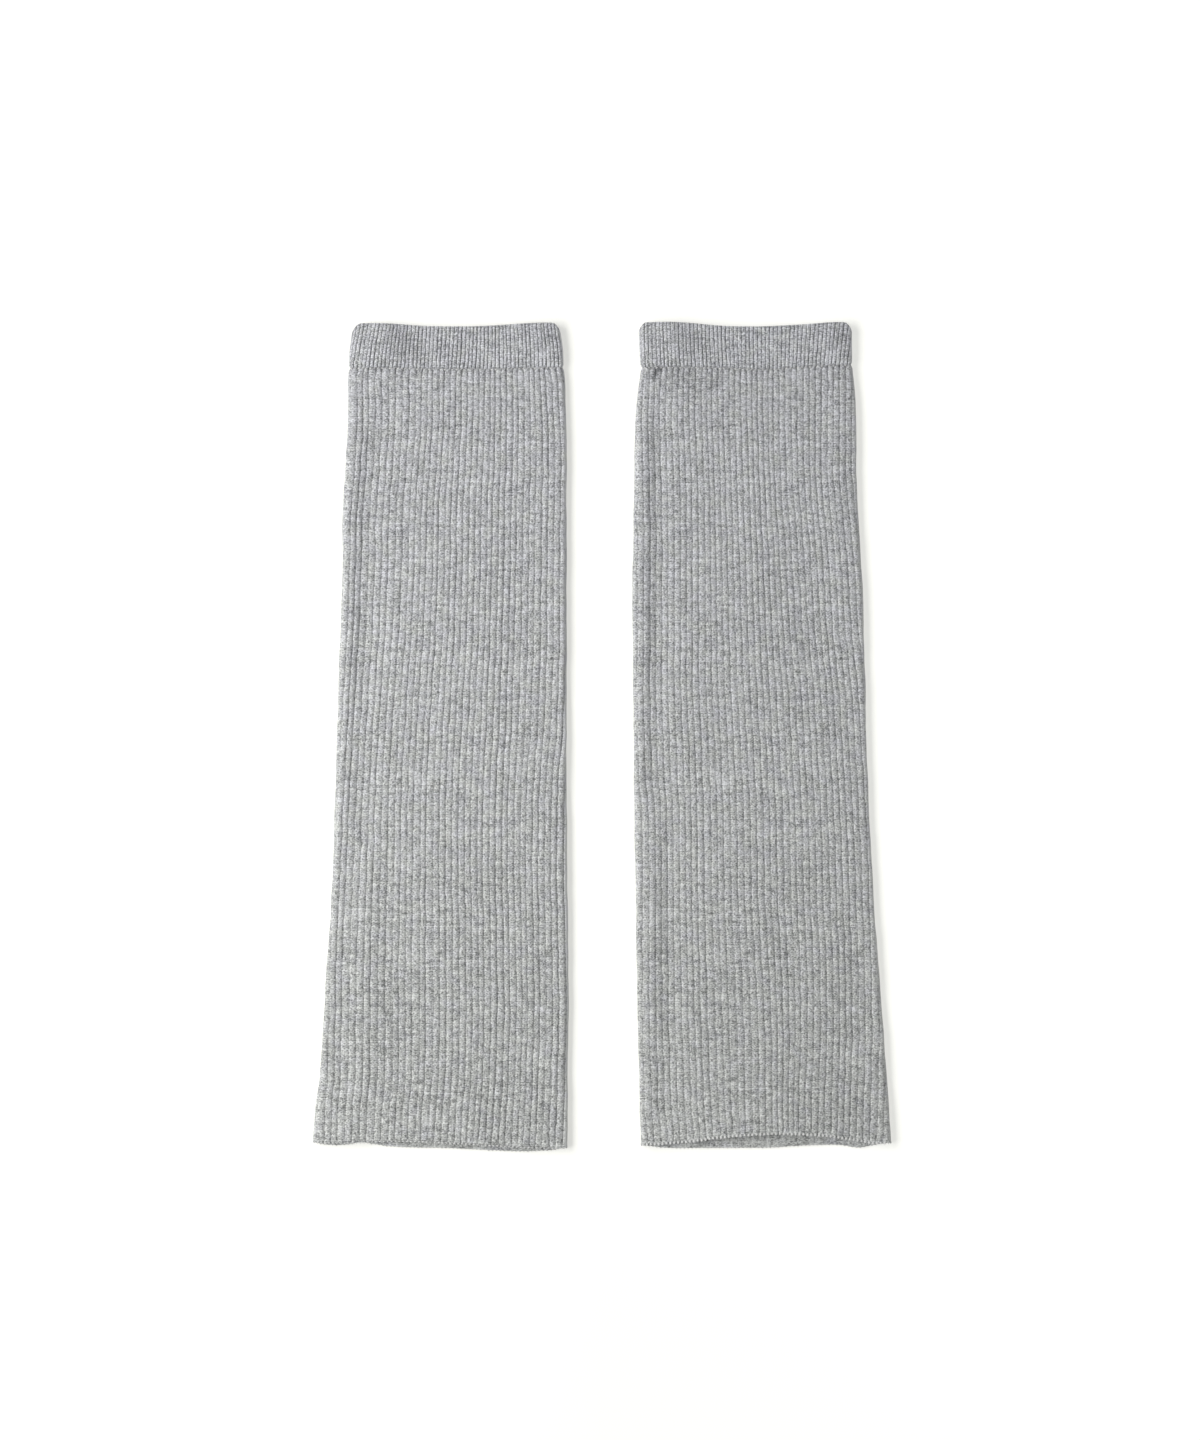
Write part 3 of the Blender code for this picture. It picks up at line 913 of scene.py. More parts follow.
# %% [markdown]
# ## Round an edge of the wall
#
# At an edge the cloth turns from its outer points to its inner ones. A few rows in equal steps of
# half a turn make that edge round.

# %% Rounded edges
def rounded_edge(form, row, bulge, turns):
    """Rows round an edge of the wall, from its outer points to its inner ones."""
    rows = []
    for turn in turns:
        share = (1 - cos(turn)) / 2
        ring = blend(form.outer[row], form.inner[row], share)
        ring[:, 1] += bulge * sin(turn)
        rows.append(ring)
    return rows


def turns_between(count):
    """Angles that part half a turn into equal steps, without its ends."""
    return [pi * step / (count + 1) for step in range(1, count + 1)]


print("an edge of four steps turns through", [round(turn, 2) for turn in turns_between(4)])

# %% [markdown]
# ## From a grid to a closed shell
#
# A grid primitive has just the rows and columns that a tube needs. Its rows run up the outside,
# over the top edge, down the inside and round the bottom edge back to the start, and its columns
# run round the loop. Moving its points onto the form gives the whole piece of cloth, and merging
# the doubles closes the last row and column onto the first. The UV map counts wales one way and
# courses the other, so that stitches follow the knit wherever it goes.

# %% Shell maker
SAME_PLACE = 0.005      # points that are closer than this are merged


def grid_shell(name, points, wales, downs, attributes):
    """A closed shell from a grid of points, with its UV map and an attribute for each key."""
    rows, columns = points.shape[:2]
    bpy.ops.object.select_all(action="DESELECT")
    bpy.ops.mesh.primitive_grid_add(x_subdivisions=columns - 1, y_subdivisions=rows - 1, size=1)
    shell = bpy.context.object
    shell.name = name
    mesh = shell.data
    mesh.vertices.foreach_set("co", (points * MM).ravel())
    corner = np.empty(len(mesh.loops), dtype=np.int32)
    mesh.loops.foreach_get("vertex_index", corner)
    courses = np.repeat(downs[:, None] / COURSE, columns, axis=1)
    places = np.stack([np.tile(wales, (rows, 1)), courses], axis=-1)
    mesh.uv_layers[0].name = "knit"
    mesh.uv_layers[0].data.foreach_set("uv", places.reshape(-1, 2)[corner].ravel())
    for attribute, values in attributes.items():
        mesh.attributes.new(attribute, "FLOAT", "POINT").data.foreach_set("value", values.ravel())
    bpy.ops.object.mode_set(mode="EDIT")
    bpy.ops.mesh.select_all(action="SELECT")
    bpy.ops.mesh.remove_doubles(threshold=SAME_PLACE * MM)
    bpy.ops.object.mode_set(mode="OBJECT")
    bpy.ops.object.shade_smooth()
    return shell


def report(piece):
    """Print a piece's triangles, area and whether it is closed."""
    mesh = piece.data
    mesh.calc_loop_triangles()
    area = sum(face.area for face in mesh.polygons)
    faces_at_edge = np.zeros(len(mesh.edges), dtype=np.int32)
    edge_of_loop = np.empty(len(mesh.loops), dtype=np.int32)
    mesh.loops.foreach_get("edge_index", edge_of_loop)
    np.add.at(faces_at_edge, edge_of_loop, 1)
    open_edges = int((faces_at_edge != 2).sum())
    triangles = len(mesh.loop_triangles)
    print(f"{piece.name}: {triangles} triangles, {area * 1e4:.0f} cm2, {open_edges} open edges")


print("points closer than", SAME_PLACE, "mm are merged")

# %% [markdown]
# ## Knit the two legs
#
# The rows are close together where the form changes quickly, at the seam and at the hem, and
# 2.5 mm apart between. The inside needs far fewer. The hem is a single layer's own edge, so the
# wall just rolls over there, and the count of courses runs on over the roll and up the inside.

# %% Legs
SEAM_ROW_STEP = 0.7     # distance of the rows next to the seam
SEAM_ROWS_END = 6.0     # down to here
HEM_ROWS_START = LEG_LENGTH - 4.0
ROWS_AT_HEM = 7
ROWS_BETWEEN = 152
INNER_ROWS = 26
SEAM_TURNS = 2          # rows that go round the wall's edge at the seam
HEM_TURNS = 5           # and round the rolled hem
HEM_BULGE = 0.35        # how far the rolled hem stands past the wall's last row
HEM_ROLL = 1.6          # length of cloth in that roll
INSIDE_SHADE = 0.25     # painted shade: how much darker the hollows are on the inside
INSIDE_LIGHT = 0.15     # painted light: the inside is a touch lighter than the outside, against the shade in the open hem
EDGE_SHADE = 2.4        # painted shade on the hem's roll, which lies in the shade of the cast-off loops
UNDER_SHADE = 3.5       # painted shade: underneath, the pressed grooves are painted as darker lines
SEAM_BULGE = 0.1        # how far the wall's edge stands into the gap at the seam

leg_rows = np.concatenate([
    np.arange(0.0, SEAM_ROWS_END, SEAM_ROW_STEP),
    np.linspace(SEAM_ROWS_END, HEM_ROWS_START, ROWS_BETWEEN, endpoint=False),
    np.linspace(HEM_ROWS_START, LEG_LENGTH, ROWS_AT_HEM),
])
inner_rows = np.round(np.linspace(0, len(leg_rows) - 1, INNER_ROWS)).astype(int)


def make_leg(warmer):
    """The leg's shell: up its outside, over the seam's edge, down its inside, round the hem."""
    around = column_places(LEG_KNIT)
    form = leg_form(warmer, around, leg_rows)
    last = len(leg_rows) - 1
    over = rounded_edge(form, 0, SEAM_BULGE, turns_between(SEAM_TURNS))
    round_hem = rounded_edge(form, last, -HEM_BULGE, turns_between(HEM_TURNS))[::-1]
    outside = form.outer[::-1]
    inside = form.inner[inner_rows]
    points = np.stack([*outside, *over, *inside, *round_hem, outside[0]])
    back_up = 2 * LEG_LENGTH + HEM_ROLL - leg_rows[inner_rows]
    roll = LEG_LENGTH + HEM_ROLL * np.arange(HEM_TURNS, 0, -1) / (HEM_TURNS + 1)
    downs = np.concatenate([leg_rows[::-1], np.zeros(SEAM_TURNS), back_up, roll, [LEG_LENGTH]])
    # painted shade: the grooves, darker still underneath, and the rolled hem edges are darkened in the
    # colour
    hollow = np.zeros(points.shape[:2])
    hollow[:len(outside)] = form.groove[::-1]
    hollow[:, around > LEG_KNIT.ribs] *= UNDER_SHADE
    hollow[-HEM_TURNS - 1:] = EDGE_SHADE
    hollow[0] = EDGE_SHADE
    inside_rows = slice(len(outside) + len(over), len(outside) + len(over) + len(inside))
    tone = patch_and_shade_tone(warmer, points[..., 0] - warmer.centre, downs[:, None])
    # painted light on the inside, with painted shade in its hollows
    tone[inside_rows] += INSIDE_LIGHT - INSIDE_SHADE * form.behind
    tone += painted_fold_light(warmer, points)
    wales = around * LEG_KNIT.wales
    return grid_shell(
        f"leg_{warmer.name}_knit", points, wales, downs, {"hollow": hollow, "patch": tone},
    )


legs = {warmer.name: make_leg(warmer) for warmer in PAIR}
for leg in legs.values():
    report(leg)

# %% [markdown]
# ## Knit the two cuffs
#
# A cuff goes the same way round, but its top is the soft fold of a doubled band, so the edge
# there is a full half round, and the ribs run over it.

# %% Cuffs
FOLD_TURNS = 9          # rows that go round the folded top edge

# Rows as parts of the band's height, closer together at the seam, and the few for the inside.
cuff_rows = np.concatenate([np.linspace(0.0, 0.16, 7), np.linspace(0.2, 1.0, 24)])
cuff_inner_rows = np.array([len(cuff_rows) - 1, 18, 9, 0])


def make_cuff(warmer):
    """The cuff's shell: up its outside, over the fold, down its inside, round the seam's edge."""
    around = column_places(CUFF_KNIT)
    form = cuff_form(warmer, around, cuff_rows)
    top_turns = turns_between(FOLD_TURNS)
    over = rounded_edge(form, len(cuff_rows) - 1, CUFF_ROUND, top_turns)
    under = rounded_edge(form, 0, -SEAM_BULGE, turns_between(SEAM_TURNS))[::-1]
    inside = form.inner[cuff_inner_rows]
    points = np.stack([*form.outer, *over, *inside, *under, form.outer[0]])
    band = reading(warmer.edge, 0.5, "top")
    downs = np.concatenate([
        -cuff_rows * band,
        -band - CUFF_ROUND * np.sin(top_turns),
        -cuff_rows[cuff_inner_rows] * band,
        np.zeros(SEAM_TURNS + 1),
    ])
    # painted shade: the grooves, carried over the fold and the seam's edge, are darkened in the colour
    hollow = np.zeros(points.shape[:2])
    hollow[:len(cuff_rows)] = form.groove
    top_of_fold = len(cuff_rows) + FOLD_TURNS // 2 + 1
    hollow[len(cuff_rows):top_of_fold] = form.groove[-1]
    hollow[-1] = form.groove[0]
    tone = patch_and_shade_tone(warmer, points[..., 0] - warmer.centre, downs[:, None])
    tone += painted_fold_light(warmer, points)
    wales = around * CUFF_KNIT.wales
    return grid_shell(
        f"cuff_{warmer.name}_knit", points, wales, downs, {"hollow": hollow, "patch": tone},
    )


cuffs = {warmer.name: make_cuff(warmer) for warmer in PAIR}
for cuff in cuffs.values():
    report(cuff)

# %% [markdown]
# ## Loops of the cast-off edge and of the linked seam
#
# A knitted edge is closed by a chain: each loop is drawn through the one before it. The hem ends
# in such a chain, and the cuff is linked to the leg by another. One loop is modelled from a
# torus, pinched to a drop and tipped so that its head lies on the next loop's foot. Each chain
# has more than a hundred of them, so one loop has only a few dozen faces.

# %% One loop
LOOP_LENGTH = 1.25
LOOP_WIDTH = 1.5
LOOP_TAPER = 0.3        # how much narrower the head is than the middle, as a part of it
LOOP_TIP = 14           # how far the loop is tipped, in degrees
YARN = 0.6              # thickness of its yarn


def make_loop():
    """One drop-shaped loop of yarn, along x, with its centre at the origin."""
    bpy.ops.object.select_all(action="DESELECT")
    bpy.ops.mesh.primitive_torus_add(
        major_segments=12, minor_segments=6, major_radius=(LOOP_LENGTH - YARN) / 2 * MM,
        minor_radius=YARN / 2 * MM,
    )
    loop = bpy.context.object
    bpy.ops.object.mode_set(mode="EDIT")
    bpy.ops.mesh.select_all(action="SELECT")
    bpy.ops.transform.resize(value=(1.0, LOOP_WIDTH / LOOP_LENGTH, 1.0))
    bpy.ops.transform.rotate(value=radians(LOOP_TIP), orient_axis="Y", center_override=(0, 0, 0))
    bpy.ops.object.mode_set(mode="OBJECT")
    for vertex in loop.data.vertices:
        vertex.co.y *= 1.0 - LOOP_TAPER * vertex.co.x / (LOOP_LENGTH / 2 * MM)
    bpy.ops.object.shade_smooth()
    return loop


loop = make_loop()
print("one loop has", len(loop.data.polygons), "faces")

# %% [markdown]
# ## Chains along the edges
#
# The loop is copied along a closed path, every copy with its own mesh, turned along the path and
# lying flat against the cloth. No two loops of real yarn are alike, so each copy differs a little
# in size and place. The copies of a chain are joined into one piece.

# %% Chain maker
LOOP_STEP = 2.0         # distance from loop to loop
LOOP_SIZES = (0.88, 1.12)       # least and greatest size, as a part of the loop's
LOOP_WANDER = 0.12      # how far a loop lies off the path, to either side


def loop_places(path):
    """Evenly spaced places on a closed path of points, each with the direction along it."""
    closed = np.vstack([path, path[:1]])
    steps = np.linalg.norm(np.diff(closed, axis=0), axis=1)
    gone = np.concatenate([[0.0], np.cumsum(steps)])
    count = round(gone[-1] / LOOP_STEP)
    at = np.linspace(0.0, gone[-1], count, endpoint=False)
    place = np.stack([np.interp(at, gone, closed[:, axis]) for axis in range(3)], axis=-1)
    ahead = np.roll(place, -1, axis=0) - np.roll(place, 1, axis=0)
    return place, ahead / np.linalg.norm(ahead, axis=1)[:, None]


def make_chain(name, path, outward, loop):
    """Copies of the loop along a closed path, lying flat against the cloth, as one piece."""
    rng = np.random.default_rng(len(name))
    places, aheads = loop_places(path)
    copies = []
    for place, ahead in zip(places, aheads):
        nearest = np.argmin(np.linalg.norm(path - place, axis=1))
        along = Vector(ahead)
        side = Vector(outward[nearest]).cross(along).normalized()
        up = along.cross(side)
        turn = Matrix((along, side, up)).transposed().to_4x4()
        size = Matrix.Diagonal((*rng.uniform(*LOOP_SIZES, 3), 1.0))
        copy = loop.copy()
        copy.data = loop.data.copy()
        shift = Vector(place * MM) + side * rng.uniform(-LOOP_WANDER, LOOP_WANDER) * MM
        copy.data.transform(Matrix.Translation(shift) @ turn @ size)
        bpy.context.collection.objects.link(copy)
        copies.append(copy)
    bpy.ops.object.select_all(action="DESELECT")
    for copy in copies:
        copy.select_set(True)
    bpy.context.view_layer.objects.active = copies[0]
    bpy.ops.object.join()
    chain = bpy.context.object
    chain.name = name
    for vertex in chain.data.vertices:
        vertex.co.z = max(vertex.co.z, 0.0)     # the loops underneath are pressed flat
    return chain


round_path = np.array([(cos(turn), sin(turn), 0.0) for turn in np.linspace(0, 2 * pi, 90)]) * 35
print("loops round a leg that is 220 mm round:", len(loop_places(round_path)[0]))

# %% [markdown]
# ## The four chains
#
# A chain's path is the leg's own edge without its ribs, sunk a little into the knit. At the hem
# the chain is the cast-off edge and lies just beyond the wall's last row. At the cuff it is the
# linking and lies in the gap between cuff and leg.

# %% Chains
PATH_POINTS = 600
CASTOFF_SINK = {"left": 0.5, "right": 0.1}      # the left hem's chain is drawn into its knit
CASTOFF_DROP = 0.1      # how far the hem's chain lies beyond the wall's last row
LINKING_SINK = 0.35


def edge_path(warmer, down, sink):
    """A smooth closed path round a leg at one row, sunk into the knit, with its outward ways."""
    lanes = LEG_KNIT.ribs + LEG_KNIT.under_ribs
    around = np.linspace(0.0, lanes, PATH_POINTS, endpoint=False)
    form = leg_form(warmer, around, np.array([down]), with_ribs=False)
    outward = form.outer[0] - form.inner[0]
    outward[:, 1] = 0.0
    outward /= np.linalg.norm(outward, axis=1)[:, None]
    return form.outer[0] - sink * outward, outward


castoffs = {}
linkings = {}
for warmer in PAIR:
    path, outward = edge_path(warmer, LEG_LENGTH, CASTOFF_SINK[warmer.name])
    path[:, 1] -= CASTOFF_DROP
    castoffs[warmer.name] = make_chain(f"castoff_{warmer.name}", path, outward, loop)
    path, outward = edge_path(warmer, 0.0, LINKING_SINK)
    path[:, 1] += SEAM_GAP / 2
    linkings[warmer.name] = make_chain(f"linking_{warmer.name}", path, outward, loop)
    report(castoffs[warmer.name])
    report(linkings[warmer.name])

bpy.data.objects.remove(loop, do_unlink=True)

# %% [markdown]
# ## Colour and nodes
#
# Colours are written as the hex values that a dye chart or a colour picker shows, and one
# function turns them to the linear values that the renderer mixes. One helper adds a node, sets
# it, links it and gives its output, so that a material reads from top to bottom like a recipe.
# Where several sockets of a node share a name, as on a Mix node, they go by their number: there
# 0 is the factor, 6 and 7 are the two colours, and output 2 is the mixed colour.

# %% Helpers for materials
def linear(colour):
    """Linear RGBA of an sRGB hex colour."""
    channels = [int(colour[i:i + 2], 16) / 255 for i in (1, 3, 5)]
    return [c / 12.92 if c <= 0.04045 else ((c + 0.055) / 1.055) ** 2.4 for c in channels] + [1.0]


def add_node(material, kind, settings, inputs, output=0):
    """Add a node with its settings and links, and give one of its outputs.

    An input is a value, or another node's output to link to it.
    """
    tree = material.node_tree
    node = tree.nodes.new(kind)
    for name, value in settings.items():
        setattr(node, name, value)
    for name, value in inputs.items():
        if isinstance(value, bpy.types.NodeSocket):
            tree.links.new(value, node.inputs[name])
        else:
            node.inputs[name].default_value = value
    return node.outputs[output]


print("mid grey #B0B2B4 is linear", [round(value, 3) for value in linear("#B0B2B4")])

# %% [markdown]
# ## Where a place lies in its stitch
#
# The patterns of a knit follow its stitches, so they are placed by counting wales and courses,
# which the UV map does. A stitch is a V: each course climbs towards both sides of its wale, and
# rounding that climb to whole courses gives one number for every row of stitches.

# %% Stitches
STITCH_CLIMB = 1.2      # how far a V's sides climb, in courses for each wale

Stitch = namedtuple("Stitch", "knit wale course side climb row")


def stitch_places(material):
    """Where a place lies in its stitch: its wale and course, its side of the V and its row."""
    knit = add_node(material, "ShaderNodeUVMap", {"uv_map": "knit"}, {})
    wale = add_node(material, "ShaderNodeSeparateXYZ", {}, {0: knit})
    course = wale.node.outputs[1]
    side = add_node(material, "ShaderNodeMath", {"operation": "PINGPONG"}, {0: wale, 1: 0.5})
    climb = add_node(
        material, "ShaderNodeMath", {"operation": "MULTIPLY_ADD"},
        {0: side, 1: STITCH_CLIMB, 2: course},
    )
    row = add_node(material, "ShaderNodeMath", {"operation": "FLOOR"}, {0: climb})
    return Stitch(knit, wale, course, side, climb, row)


print("the sides of a V climb", round(STITCH_CLIMB / 2 * COURSE, 2), "mm")

# %% [markdown]
# ## Melange yarn
#
# The yarn is spun from wool and acrylic fibres dyed in several greys before spinning, which is
# what melange means. It never has one colour: a darker stretch of yarn shows as a short streak
# along a row of stitches, one stitch high and 3 to 10 mm long, and single fibres show as fine
# flecks. Each of a V's two strands also has a shade of its own.

# %% Yarn in a row of stitches
WIDE_WALE = 1.6         # width of a stitch in the legs' rib
FINE_WALE = 2.0         # and in the cuffs'
ROW_STEP = 7.31         # sets the noise of one row apart from the next row's
STREAKS = 0.45          # streaks 6 mm long in the wide rib and 9 mm in the fine one


def row_patterns(material, stitch, wale_width):
    """Patterns of the yarn that go by rows of stitches: streaks, and the shade of each strand."""
    row_start = add_node(
        material, "ShaderNodeMath", {"operation": "MULTIPLY"}, {0: stitch.row, 1: ROW_STEP},
    )
    in_row = add_node(material, "ShaderNodeCombineXYZ", {}, {0: stitch.wale, 1: row_start})
    streak = add_node(
        material, "ShaderNodeTexNoise", {},
        {"Vector": in_row, "Scale": STREAKS / wale_width, "Detail": 2.0, "Roughness": 0.6},
    )
    half = add_node(
        material, "ShaderNodeMath", {"operation": "MULTIPLY"}, {0: stitch.wale, 1: 2.0},
    )
    half = add_node(material, "ShaderNodeMath", {"operation": "FLOOR"}, {0: half})
    of_strand = add_node(material, "ShaderNodeCombineXYZ", {}, {0: half, 1: stitch.row})
    strand = add_node(
        material, "ShaderNodeTexWhiteNoise", {"noise_dimensions": "2D"}, {"Vector": of_strand},
    )
    return {"streak": streak, "strand": strand}


print("length of the streaks:", [round(wale**2 / STREAKS, 1) for wale in (WIDE_WALE, FINE_WALE)])

# %% [markdown]
# ## Bands, tufts, flecks and clouds
#
# These patterns run over the rows of stitches. Longer bands are noise stretched along the
# courses, and clouds are the slowest change. Tufts of fibre are 1 mm and flecks 0.7 mm, much
# coarser than fibres, so that they still show.

# %% Yarn over many rows
BANDS = (0.085, 0.38)   # for each mm along and across a course: bands 12 mm long, 2.6 mm high
TUFTS = 0.95            # for each mm: tufts of 1 mm
FLECKS = 1.45           # for each mm, with the next: flecks 0.9 mm long and 0.7 mm high
FLECK_FORM = (0.8, 1.05)
CLOUDS = (0.03, 0.07)   # for each wale and course: clouds some 60 mm long and 18 mm high


def broad_patterns(material, stitch, wale_width):
    """Patterns of the yarn that run over many rows, and the places in millimetres."""
    along = add_node(
        material, "ShaderNodeMapping", {},
        {"Vector": stitch.knit, "Scale": (BANDS[0] * wale_width, BANDS[1] * COURSE, 1.0)},
    )
    band = add_node(
        material, "ShaderNodeTexNoise", {},
        {"Vector": along, "Scale": 1.0, "Detail": 2.0, "Roughness": 0.65},
    )
    in_mm = add_node(
        material, "ShaderNodeMapping", {},
        {"Vector": stitch.knit, "Scale": (wale_width, COURSE, 1.0)},
    )
    tuft = add_node(
        material, "ShaderNodeTexNoise", {}, {"Vector": in_mm, "Scale": TUFTS, "Detail": 0.0},
    )
    form = (FLECK_FORM[0] * wale_width, FLECK_FORM[1] * COURSE, 1.0)
    flattened = add_node(
        material, "ShaderNodeMapping", {}, {"Vector": stitch.knit, "Scale": form},
    )
    fleck = add_node(
        material, "ShaderNodeTexNoise", {},
        {"Vector": flattened, "Scale": FLECKS, "Detail": 1.0, "Roughness": 0.6},
    )
    broad = add_node(
        material, "ShaderNodeMapping", {}, {"Vector": stitch.knit, "Scale": (*CLOUDS, 1.0)},
    )
    cloud = add_node(
        material, "ShaderNodeTexNoise", {},
        {"Vector": broad, "Scale": 1.0, "Detail": 1.0, "Roughness": 0.5},
    )
    return {"band": band, "tuft": tuft, "fleck": fleck, "cloud": cloud}, in_mm


print("size of a tuft:", round(1 / TUFTS, 2), "mm")

# %% [markdown]
# ## The stitches' own relief
#
# A single stitch stands up by only a tenth of a millimetre, far too little to model over the
# whole pair. Its two strands are a height that the material's bump reads: a sine wave over each
# row, plumper in the middle of a strand. The same height is added to the colour too, as painted
# shade where the strands dip between the rows.

# %% Stitch relief
STRAND_LEAST = 0.4      # height of a strand's ends, as a part of its middle's


def stitch_relief(material, stitch):
    """Height of the knit in a stitch: a plump strand on each side of its V."""
    row_turn = add_node(
        material, "ShaderNodeMath", {"operation": "MULTIPLY"}, {0: stitch.climb, 1: pi},
    )
    row_wave = add_node(material, "ShaderNodeMath", {"operation": "SINE"}, {0: row_turn})
    strand = add_node(material, "ShaderNodeMath", {"operation": "ABSOLUTE"}, {0: row_wave})
    wale_turn = add_node(
        material, "ShaderNodeMath", {"operation": "MULTIPLY"}, {0: stitch.side, 1: 2 * pi},
    )
    wale_wave = add_node(material, "ShaderNodeMath", {"operation": "SINE"}, {0: wale_turn})
    plump = add_node(
        material, "ShaderNodeMath", {"operation": "MULTIPLY_ADD"},
        {0: wale_wave, 1: 1 - STRAND_LEAST, 2: STRAND_LEAST},
    )
    return add_node(
        material, "ShaderNodeMath", {"operation": "MULTIPLY"}, {0: strand, 1: plump},
    )


print("a strand's ends are", STRAND_LEAST, "as high as its middle")

# %% [markdown]
# ## Cool and warm fibres
#
# The greys of the fibres aren't quite the same hue. Cool and warm ones drift past each other in
# patches of a few millimetres, and the knit is a touch cooler towards its cuff.

# %% Tint
DRIFT = 0.14            # for each mm: patches of 7 mm
DRIFT_CONTRAST = 3.0
DRIFT_SHIFT = -1.3
WARMER_DOWN = 0.0022    # for each course down from the cuff seam


def fibre_tint(material, in_mm, course):
    """The tint that the fibres give the yarn."""
    drift = add_node(
        material, "ShaderNodeTexNoise", {},
        {"Vector": in_mm, "Scale": DRIFT, "Detail": 2.0, "Roughness": 0.6},
    )
    drift = add_node(
        material, "ShaderNodeMath", {"operation": "MULTIPLY_ADD"},
        {0: drift, 1: DRIFT_CONTRAST, 2: DRIFT_SHIFT},
    )
    warmth = add_node(
        material, "ShaderNodeMath", {"operation": "MULTIPLY_ADD"},
        {0: course, 1: WARMER_DOWN, 2: drift},
    )
    return add_node(
        material, "ShaderNodeMix", {"data_type": "RGBA", "clamp_factor": True},
        {0: warmth, 6: linear("#FAFAFF"), 7: linear("#FDFEFB")}, 2,
    )


print("tint patches:", round(1 / DRIFT, 1), "mm")

# %% [markdown]
# ## How light the yarn is
#
# The yarn is painted darker in the grooves, in the pressed grooves underneath and on the hem's
# rolled edges: painted shade where less light reaches. The darker patches of yarn are added, together
# with painted shade and painted light, and the patterns are added to that by their amounts. The
# result picks a grey between the darkest and the lightest fibre.

# %% Tone of the yarn
MIDDLE_TONE = 0.575     # the tone of even yarn on a crest: 0 is the dark grey, 1 the light one


def yarn_tone(material, patterns, groove_shade, amounts):
    """How light the yarn is at each place, from 0 for its dark grey to 1 for its light one."""
    hollow = add_node(material, "ShaderNodeAttribute", {"attribute_name": "hollow"}, {}, "Fac")
    patch = add_node(material, "ShaderNodeAttribute", {"attribute_name": "patch"}, {}, "Fac")
    tone = add_node(
        material, "ShaderNodeMath", {"operation": "MULTIPLY_ADD"},
        {0: hollow, 1: -groove_shade, 2: patch},
    )
    for pattern, amount in amounts.items():
        tone = add_node(
            material, "ShaderNodeMath", {"operation": "MULTIPLY_ADD"},
            {0: patterns[pattern], 1: amount, 2: tone},
        )
    middle = MIDDLE_TONE - 0.5 * sum(amounts.values())      # each pattern is 0.5 on average
    return add_node(material, "ShaderNodeMath", {"operation": "ADD"}, {0: tone, 1: middle})


print("even yarn lies", MIDDLE_TONE, "of the way from the dark grey to the light one")

# %% [markdown]
# ## The two knits
#
# The wide rib and the fine rib are the same yarn, knitted to different widths. Wool and acrylic
# spun together are matt, and on the crests a soft nap catches the light, which gives a faint
# sheen. The stitches and the flecks of fibre are the bump.

# %% Knit materials
FLECK_BUMP = 1.6        # height of a fleck's fibres, as a part of a stitch's


def melange_knit(name, dark, light, wale_width, groove_shade, amounts):
    """Melange yarn knitted in a rib, between a dark and a light grey."""
    material = bpy.data.materials.new(name)
    material.use_nodes = True
    shader = material.node_tree.nodes["Principled BSDF"]
    shader.inputs["Roughness"].default_value = 0.92
    shader.inputs["Specular IOR Level"].default_value = 0.25
    shader.inputs["Sheen Weight"].default_value = 0.4
    shader.inputs["Sheen Roughness"].default_value = 0.5
    stitch = stitch_places(material)
    patterns = row_patterns(material, stitch, wale_width)
    more, in_mm = broad_patterns(material, stitch, wale_width)
    patterns.update(more)
    # the strands' height is also painted into the colour: painted shade between the rows
    patterns["stitch"] = stitch_relief(material, stitch)
    tone = yarn_tone(material, patterns, groove_shade, amounts)
    yarn = add_node(
        material, "ShaderNodeMix", {"data_type": "RGBA", "clamp_factor": True},
        {0: tone, 6: linear(dark), 7: linear(light)}, 2,
    )
    tint = fibre_tint(material, in_mm, stitch.course)
    colour = add_node(
        material, "ShaderNodeMix", {"data_type": "RGBA", "blend_type": "MULTIPLY"},
        {0: 1.0, 6: yarn, 7: tint}, 2,
    )
    height = add_node(
        material, "ShaderNodeMath", {"operation": "MULTIPLY_ADD"},
        {0: patterns["fleck"], 1: FLECK_BUMP, 2: patterns["stitch"]},
    )
    bump = add_node(
        material, "ShaderNodeBump", {}, {"Height": height, "Distance": 0.12 * MM, "Strength": 0.8},
    )
    material.node_tree.links.new(colour, shader.inputs["Base Color"])
    material.node_tree.links.new(bump, shader.inputs["Normal"])
    return material


wide_rib = melange_knit(
    "melange_yarn_wide_rib_knit", "#717272", "#D9DADA", WIDE_WALE, groove_shade=0.05,
    amounts={
        "streak": 1.4, "band": 0.15, "strand": 0.3, "tuft": 0.65, "fleck": 2.1, "cloud": 0.2,
        "stitch": 0.36,
    },
)
fine_rib = melange_knit(
    "melange_yarn_fine_rib_knit", "#6D6E6F", "#DFE0E1", FINE_WALE, groove_shade=0.95,
    amounts={
        "streak": 1.1, "band": 0.15, "strand": 0.3, "tuft": 0.5, "fleck": 2.3, "cloud": 0.25,
        "stitch": 0.36,
    },
)
for leg in legs.values():
    leg.data.materials.append(wide_rib)
for cuff in cuffs.values():
    cuff.data.materials.append(fine_rib)
print("knit materials:", wide_rib.name, fine_rib.name)

# %% [markdown]
# ## The chains' yarn
#
# The same melange yarn, but seen as a strand: two plies twisted together, which show as slanting
# ridges along a loop. Its greys are painted lighter than the knit's, a painted highlight where the
# loops stand up into the light.

# %% Chain material
YARN_FLECKS = 0.9       # for each mm: flecks of 1 mm
PLIES = 0.5             # ridges 0.7 mm apart, because a wave's scale counts 10 / (2 pi) to a unit


